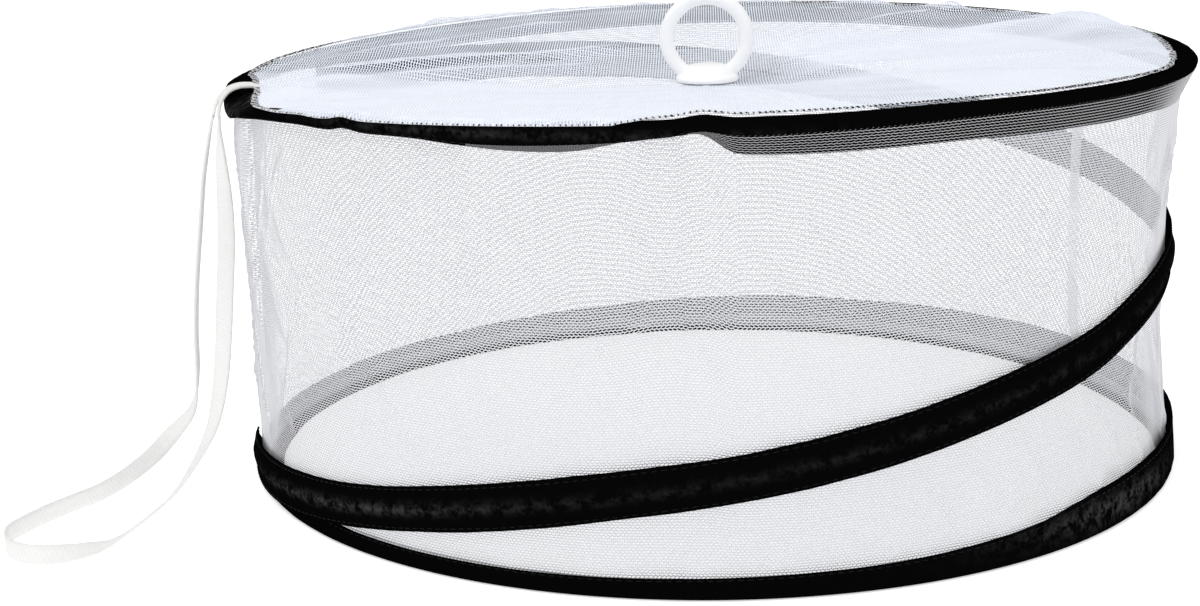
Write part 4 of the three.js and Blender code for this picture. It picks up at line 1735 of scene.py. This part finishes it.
@dataclass
class LiftingRing:
    """The moulded ring and foot, and the washer and rivet under the netting."""

    finishes: Finishes
    wire: float = 2.7
    outer: float = 17.7
    voxel: float = 0.42

    def loop(self, centre: float) -> bpy.types.Object:
        """The ring itself: a round bar, a little flattened on its two faces.

        Args:
            centre: the height of the ring's middle.

        Returns:
            The closed ring.
        """
        middle = self.outer - self.wire

        def skin(u: float, v: float) -> Point:
            turn, bar = 2 * math.pi * u, 2 * math.pi * v
            out = middle + self.wire * math.cos(bar)
            side = self.wire * 0.96 * math.copysign(abs(math.sin(bar)) ** 0.86, math.sin(bar))
            return out * math.cos(turn), side, centre + out * math.sin(turn)

        return outwards(
            grid_mesh("ring_loop", 96, 24, skin, lambda u, v: (u, v), closed_columns=True, closed_rows=True)
        )

    def foot(self, base: float) -> bpy.types.Object:
        """The round foot under the ring."""
        steps = (
            (0.0, 0.0), (11.3, 0.0), (11.9, 0.5), (12.0, 1.3), (11.6, 2.0), (10.6, 2.7), (9.4, 4.2),
            (8.0, 5.6), (5.5, 6.4), (0.0, 6.6), (0.0, 0.0),
        )
        return turned("ring_foot", [(radius, base + up) for radius, up in steps], 72)

    def build(self) -> None:
        """Builds the ring's pieces."""
        low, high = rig.box("lifting_ring")
        base, top = low[2] / MM, high[2] / MM
        loop, foot = self.loop(top - self.outer), self.foot(base)
        whole = self.joined("ring_foot_and_loop", loop, foot)
        remesh = whole.modifiers.new("Skin", "REMESH")
        remesh.mode, remesh.voxel_size = "VOXEL", self.voxel * MM
        soften = whole.modifiers.new("Soften", "SMOOTH")
        soften.factor, soften.iterations = 0.5, 6
        settled(whole)
        for vertex in whole.data.vertices:
            vertex.co.z = max(vertex.co.z, base * MM)
        self.finishes.dress(whole, "plastic", Slot.PLASTIC)
        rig.replaces(whole, "lifting_ring")
        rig.ride(whole, Body.RING.value)
        self.hardware()
        LOG.info("built %s", whole.name)

    @staticmethod
    def joined(name: str, *parts: bpy.types.Object) -> bpy.types.Object:
        """Joins several objects.

        Args:
            name: the new object's name.
            parts: the objects to join, which are removed.

        Returns:
            The new object.
        """
        work = bmesh.new()
        for part in parts:
            work.from_mesh(part.data)
            mesh = part.data
            bpy.data.objects.remove(part)
            bpy.data.meshes.remove(mesh)
        mesh = bpy.data.meshes.new(name)
        work.to_mesh(mesh)
        work.free()
        return new_object(name, mesh)

    def hardware(self) -> None:
        """Builds the washer and the rivet."""
        wlow, whigh = (corner[2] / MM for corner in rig.box("ring_washer"))
        washer = turned("ring_backing_washer", [
            (2.5, wlow), (9.3, wlow), (9.8, wlow + 0.25), (10.0, wlow + 0.7), (10.0, whigh - 0.3),
            (9.7, whigh), (2.5, whigh), (2.5, wlow),
        ], 64)
        rlow, rhigh = (corner[2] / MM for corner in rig.box("ring_rivet"))
        rivet = turned("ring_push_rivet", [
            (0.0, rlow), (3.0, rlow + 0.1), (4.1, rlow + 0.6), (4.5, rlow + 1.1), (4.4, rlow + 1.6),
            (2.2, rlow + 1.6), (2.2, rhigh - 0.6), (1.7, rhigh), (0.0, rhigh), (0.0, rlow),
        ], 48)
        for piece, node in ((washer, "ring_washer"), (rivet, "ring_rivet")):
            self.finishes.dress(piece, "plastic", Slot.PLASTIC)
            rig.replaces(piece, node)
            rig.ride(piece, Body.RING.value)


# ---------------------------------------------------------------- tape loop


@dataclass
class TapeLoop:
    """The flat tape loop that hangs from the rim and lies on the table."""

    drum: Drum
    width: float = 6.5
    thickness: float = 1.1
    steps: int = 420
    # Each point is its place, and how far the tape's width points along +X, +Y and +Z there.
    route: tuple[tuple[Point, Point], ...] = (
        ((-180.7, -36.3, 137), (-0.2, 1, 0)), ((-181.8, -36, 134), (-0.18, 1, 0)),
        ((-184.5, -36, 121.8), (-0.1, 1, 0)), ((-186.2, -36.3, 112.6), (-0.08, 1, 0)),
        ((-188.6, -36.8, 93.9), (-0.08, 1, 0)), ((-191, -37.5, 75), (-0.08, 1, 0)),
        ((-192.6, -38, 55.9), (-0.08, 1, 0)), ((-193, -39.3, 38.9), (-0.1, 1, 0.1)),
        ((-195.5, -39.8, 26), (-0.3, 0.9, 0.3)), ((-203.6, -41.7, 16.5), (-0.45, 0.5, 0.6)),
        ((-210.4, -50.8, 10), (-0.3, 0.3, 0.9)), ((-217.2, -62.3, 6.2), (-0.1, 0.2, 1)),
        ((-223.8, -72.8, 4.2), (0, 0.1, 1)), ((-230.5, -82.1, 3.6), (0, 0, 1)),
        ((-236.6, -92.2, 3.4), (0, 0, 1)), ((-241.9, -104.6, 3.3), (0, 0, 1)),
        ((-244.4, -115.6, 3.3), (0, 0, 1)), ((-240.5, -127.6, 3.3), (0, 0, 1)),
        ((-232.5, -134.4, 3.3), (0, 0.2, 1)), ((-223.8, -135.4, 3.2), (0, 0.4, 0.9)),
        ((-213.5, -130.5, 2.8), (-0.2, 0.9, 0.5)), ((-204.5, -121.6, 3.6), (-0.4, 0.75, -0.25)),
        ((-194.8, -113.2, 9), (-0.4, 0.75, -0.42)), ((-187.2, -106.6, 15), (-0.4, 0.75, -0.42)),
        ((-179.6, -100.4, 26), (-0.5, 0.7, -0.3)), ((-174.9, -95.5, 36), (-0.65, 0.6, -0.15)),
        ((-173, -88, 48.5), (-0.8, 0.5, 0)), ((-173.2, -78, 61.5), (-0.85, 0.35, 0)),
        ((-174, -67, 77), (-0.9, 0.2, 0)), ((-174.6, -57, 92.3), (-0.9, 0.15, 0)),
        ((-175.6, -50.5, 105.8), (-0.85, 0.3, 0)), ((-177, -45.5, 121.5), (-0.6, 0.7, 0)),
        ((-177.6, -42.8, 132), (-0.3, 0.95, 0)), ((-177.5, -41.9, 137), (-0.2, 1, 0)),
    )

    def spots(self) -> tuple[Along, ...]:
        """The route as six curves over its own length: place, then width direction."""
        places = [Vector(place) for place, _ in self.route]
        run = [0.0]
        for before, after in zip(places, places[1:], strict=False):
            run.append(run[-1] + (after - before).length)
        columns = zip(*[(*place, *lean) for place, lean in self.route], strict=True)
        return tuple(Along(tuple(zip(run, column, strict=True))) for column in columns)

    def path(self) -> list[Point]:
        """The tape's middle line in metres, at even steps."""
        curves = self.spots()
        total = curves[0].points[-1][0]
        stations = [total * k / self.steps for k in range(self.steps + 1)]
        return [tuple(curve.at(place) * MM for curve in curves[:3]) for place in stations]

    def build(self) -> tuple[bpy.types.Object, list[Point]]:
        """Builds the tape.

        Returns:
            The tape's object and its middle line in metres.
        """
        curves = self.spots()
        total = curves[0].points[-1][0]
        line = self.path()
        corner = ((0.5, 0.28), (0.47, 0.5), (0.2, 0.5), (-0.2, 0.5), (-0.47, 0.5), (-0.5, 0.28))
        section = [*corner, *((-a, -b) for a, b in corner)]

        def skin(u: float, v: float) -> Point:
            k = round(u * self.steps)
            before, after = line[max(k - 1, 0)], line[min(k + 1, self.steps)]
            along = (Vector(after) - Vector(before)).normalized()
            wide = Vector(curve.at(total * u) for curve in curves[3:])
            wide = (wide - wide.dot(along) * along).normalized()
            thick = along.cross(wide)
            a, b = section[round(v * len(section)) % len(section)]
            place = Vector(line[k]) / MM + wide * a * self.width + thick * b * self.thickness
            place.z = max(place.z, 0.05)
            return tuple(place)

        tape = grid_mesh(
            "tape_loop", self.steps, len(section), skin, lambda u, v: (u * total * MM, v * 0.015),
            closed_rows=True, caps=True,
        )
        return outwards(tape), line

    def dress(self, tape: bpy.types.Object, line: list[Point], finishes: Finishes, keep: float) -> None:
        """Args:
            tape: the tape from build.
            line: its middle line in metres.
            finishes: the cover's finishes.
            keep: how much of its height is left when the hoop is down.
        """
        finishes.dress(tape, "tape", Slot.TAPE)
        anchor = self.anchor(finishes)
        length = sum((Vector(b) - Vector(a)).length for a, b in zip(line, line[1:], strict=False))
        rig.replaces(tape, "strap_loop")
        flattens(tape, keep)
        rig.cord(
            tape,
            exit=line[0],
            length=round(length, 3),
            diameter=self.width * MM,
            far_end="object",
            stiffness="limp",
            lay="loose",
            path=line,
            with_pieces=[anchor],
        )
        LOG.info("built %s, %.3f m long", tape.name, length)

    def anchor(self, finishes: Finishes) -> bpy.types.Object:
        """The two tape ends, folded over the rim and sewn down inside."""
        middle = 192.5
        line = (
            (164.5, 145.4), (168, 146.9), (172, 147.4), (175.5, 147.2), (178.8, 146.0), (181.4, 143.8),
            (183.3, 140.8), (184.4, 137.0),
        )
        heights = Along(tuple((k / 7, z) for k, (_, z) in enumerate(line)))
        radii = Along(tuple((k / 7, r) for k, (r, _) in enumerate(line)))
        parts = []
        for side, tuck, lift in ((-3.3, 0.0, 0.0), (2.9, 1.8, 0.5)):

            def skin(u: float, v: float, side: float = side, tuck: float = tuck, lift: float = lift) -> Point:
                spread = math.degrees(((v - 0.5) * self.width + side) / line[-1][0])
                return polar(radii.at(u) - tuck * u * u, middle + spread, heights.at(u) + lift * (1 - u))

            part = grid_mesh(f"anchor_{len(parts)}", 40, 6, skin, lambda u, v: (u * 0.03, v * 0.0065))
            parts.append(thickened(part, self.thickness))
        tab = LiftingRing.joined("tape_anchor", *parts)
        tab.data.polygons.foreach_set("use_smooth", [True] * len(tab.data.polygons))
        finishes.dress(tab, "tape", Slot.TAPE)
        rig.replaces(tab, "strap_anchor")
        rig.ride(tab, Body.UPPER.value)
        return tab


# ---------------------------------------------------------------- studio


@dataclass(frozen=True)
class Studio:
    """The camera, the pale floor and the soft light."""

    away: float = 0.8146
    height: float = 0.2527
    pan: float = 3.012
    pitch: float = 13.635
    roll: float = 1.550
    focal: float = 64.85
    sensor: float = 36.0
    shaded: float = 0.176

    def camera(self) -> None:
        """Places the camera and makes it the scene's."""
        data = bpy.data.cameras.new("view")
        data.lens, data.sensor_width, data.clip_start = self.focal, self.sensor, 0.01
        pan, pitch, roll = (math.radians(a) for a in (self.pan, self.pitch, self.roll))
        level = Vector((-math.sin(pan), math.cos(pan), 0))
        ahead = level * math.cos(pitch) - Vector((0, 0, math.sin(pitch)))
        right0 = Vector((math.cos(pan), math.sin(pan), 0))
        up0 = level * math.sin(pitch) + Vector((0, 0, math.cos(pitch)))
        right = right0 * math.cos(roll) - up0 * math.sin(roll)
        up = right0 * math.sin(roll) + up0 * math.cos(roll)
        turn = Matrix((right, up, -ahead)).transposed()
        camera = bpy.data.objects.new("view", data)
        camera.matrix_world = Matrix.Translation((0, -self.away, self.height)) @ turn.to_4x4()
        bpy.context.scene.collection.objects.link(camera)
        bpy.context.scene.camera = camera

    def floor(self) -> None:
        """Lays a plain white floor, a little shaded where the netting stands over it."""
        w, material = blank_material("studio_floor")
        place = w.add("ShaderNodeTexCoord").outputs["Object"]
        away = w.add("ShaderNodeVectorMath", {"operation": "LENGTH"}, i0=place).outputs["Value"]
        cover = w.ramp(away, self.shaded - 0.003, self.shaded)
        glow = w.blend(cover, (0.66, 0.66, 0.655, 1.0), (1.0, 1.0, 1.0, 1.0))
        finish_material(
            w,
            Base_Color=(0.8, 0.8, 0.8, 1),
            Roughness=0.9,
            Specular_IOR_Level=0.1,
            Emission_Color=glow,
            Emission_Strength=0.6,
        )
        mesh = bpy.data.meshes.new("studio_floor")
        far = 6.0
        mesh.from_pydata([(-far, -far, 0), (far, -far, 0), (far, far, 0), (-far, far, 0)], [], [(0, 1, 2, 3)])
        mesh.materials.append(material)
        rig.stage(new_object("studio_floor", mesh))

    def light(self) -> None:
        """Lights the scene from all round, with a large soft light above."""
        world = bpy.data.worlds.new("studio")
        world.use_nodes = True
        shade = world.node_tree.nodes["Background"].inputs
        shade["Color"].default_value = (1.0, 1.0, 1.0, 1.0)
        shade["Strength"].default_value = 0.7
        bpy.context.scene.world = world
        bpy.context.scene.view_settings.view_transform = "Standard"
        for name, place, size, power in (
            ("overhead", (-0.5, -0.4, 1.7), 1.4, 12.0),
            ("front", (0.9, -1.5, 0.9), 1.0, 4.0),
        ):
            data = bpy.data.lights.new(name, "AREA")
            data.size, data.energy = size, power
            lamp = bpy.data.objects.new(name, data)
            lamp.location = place
            lamp.rotation_euler = (Vector((0, 0, 0.08)) - Vector(place)).to_track_quat("-Z", "Y").to_euler()
            bpy.context.scene.collection.objects.link(lamp)

    def build(self) -> None:
        """Builds the studio round the cover."""
        self.floor()
        self.light()


def main() -> None:
    """Builds the cover piece by piece."""
    logging.basicConfig(level=logging.INFO)
    studio = Studio()
    studio.camera()
    drum = Drum()
    loop = TapeLoop(drum)
    tape, line = loop.build()
    finishes = Finishes()
    stitches = stitch_tree()
    collapse = next(joint for joint in frame["joints"] if joint["name"] == "collapse")
    travel = -collapse["range_m"][0] / MM
    wall_top = drum.rim_mean - drum.mean_skirt
    keep = (wall_top - travel) / wall_top
    loop.dress(tape, line, finishes, keep)
    Hoops(drum, finishes, stitches).build()
    Coil(drum, finishes, stitches, keep).build()
    LiftingRing(finishes).build()
    Wall(drum, finishes, keep).build()
    TopPanel(drum, finishes, stitches).build()
    studio.build()
    with open("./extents.json", "w", encoding="utf-8") as sizes:
        boxes = {"cad": CAD_BOX, "visual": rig.bounds()}
        json.dump({key: [list(map(float, c)) for c in box] for key, box in boxes.items()}, sizes)


if __name__ == "__main__":
    main()
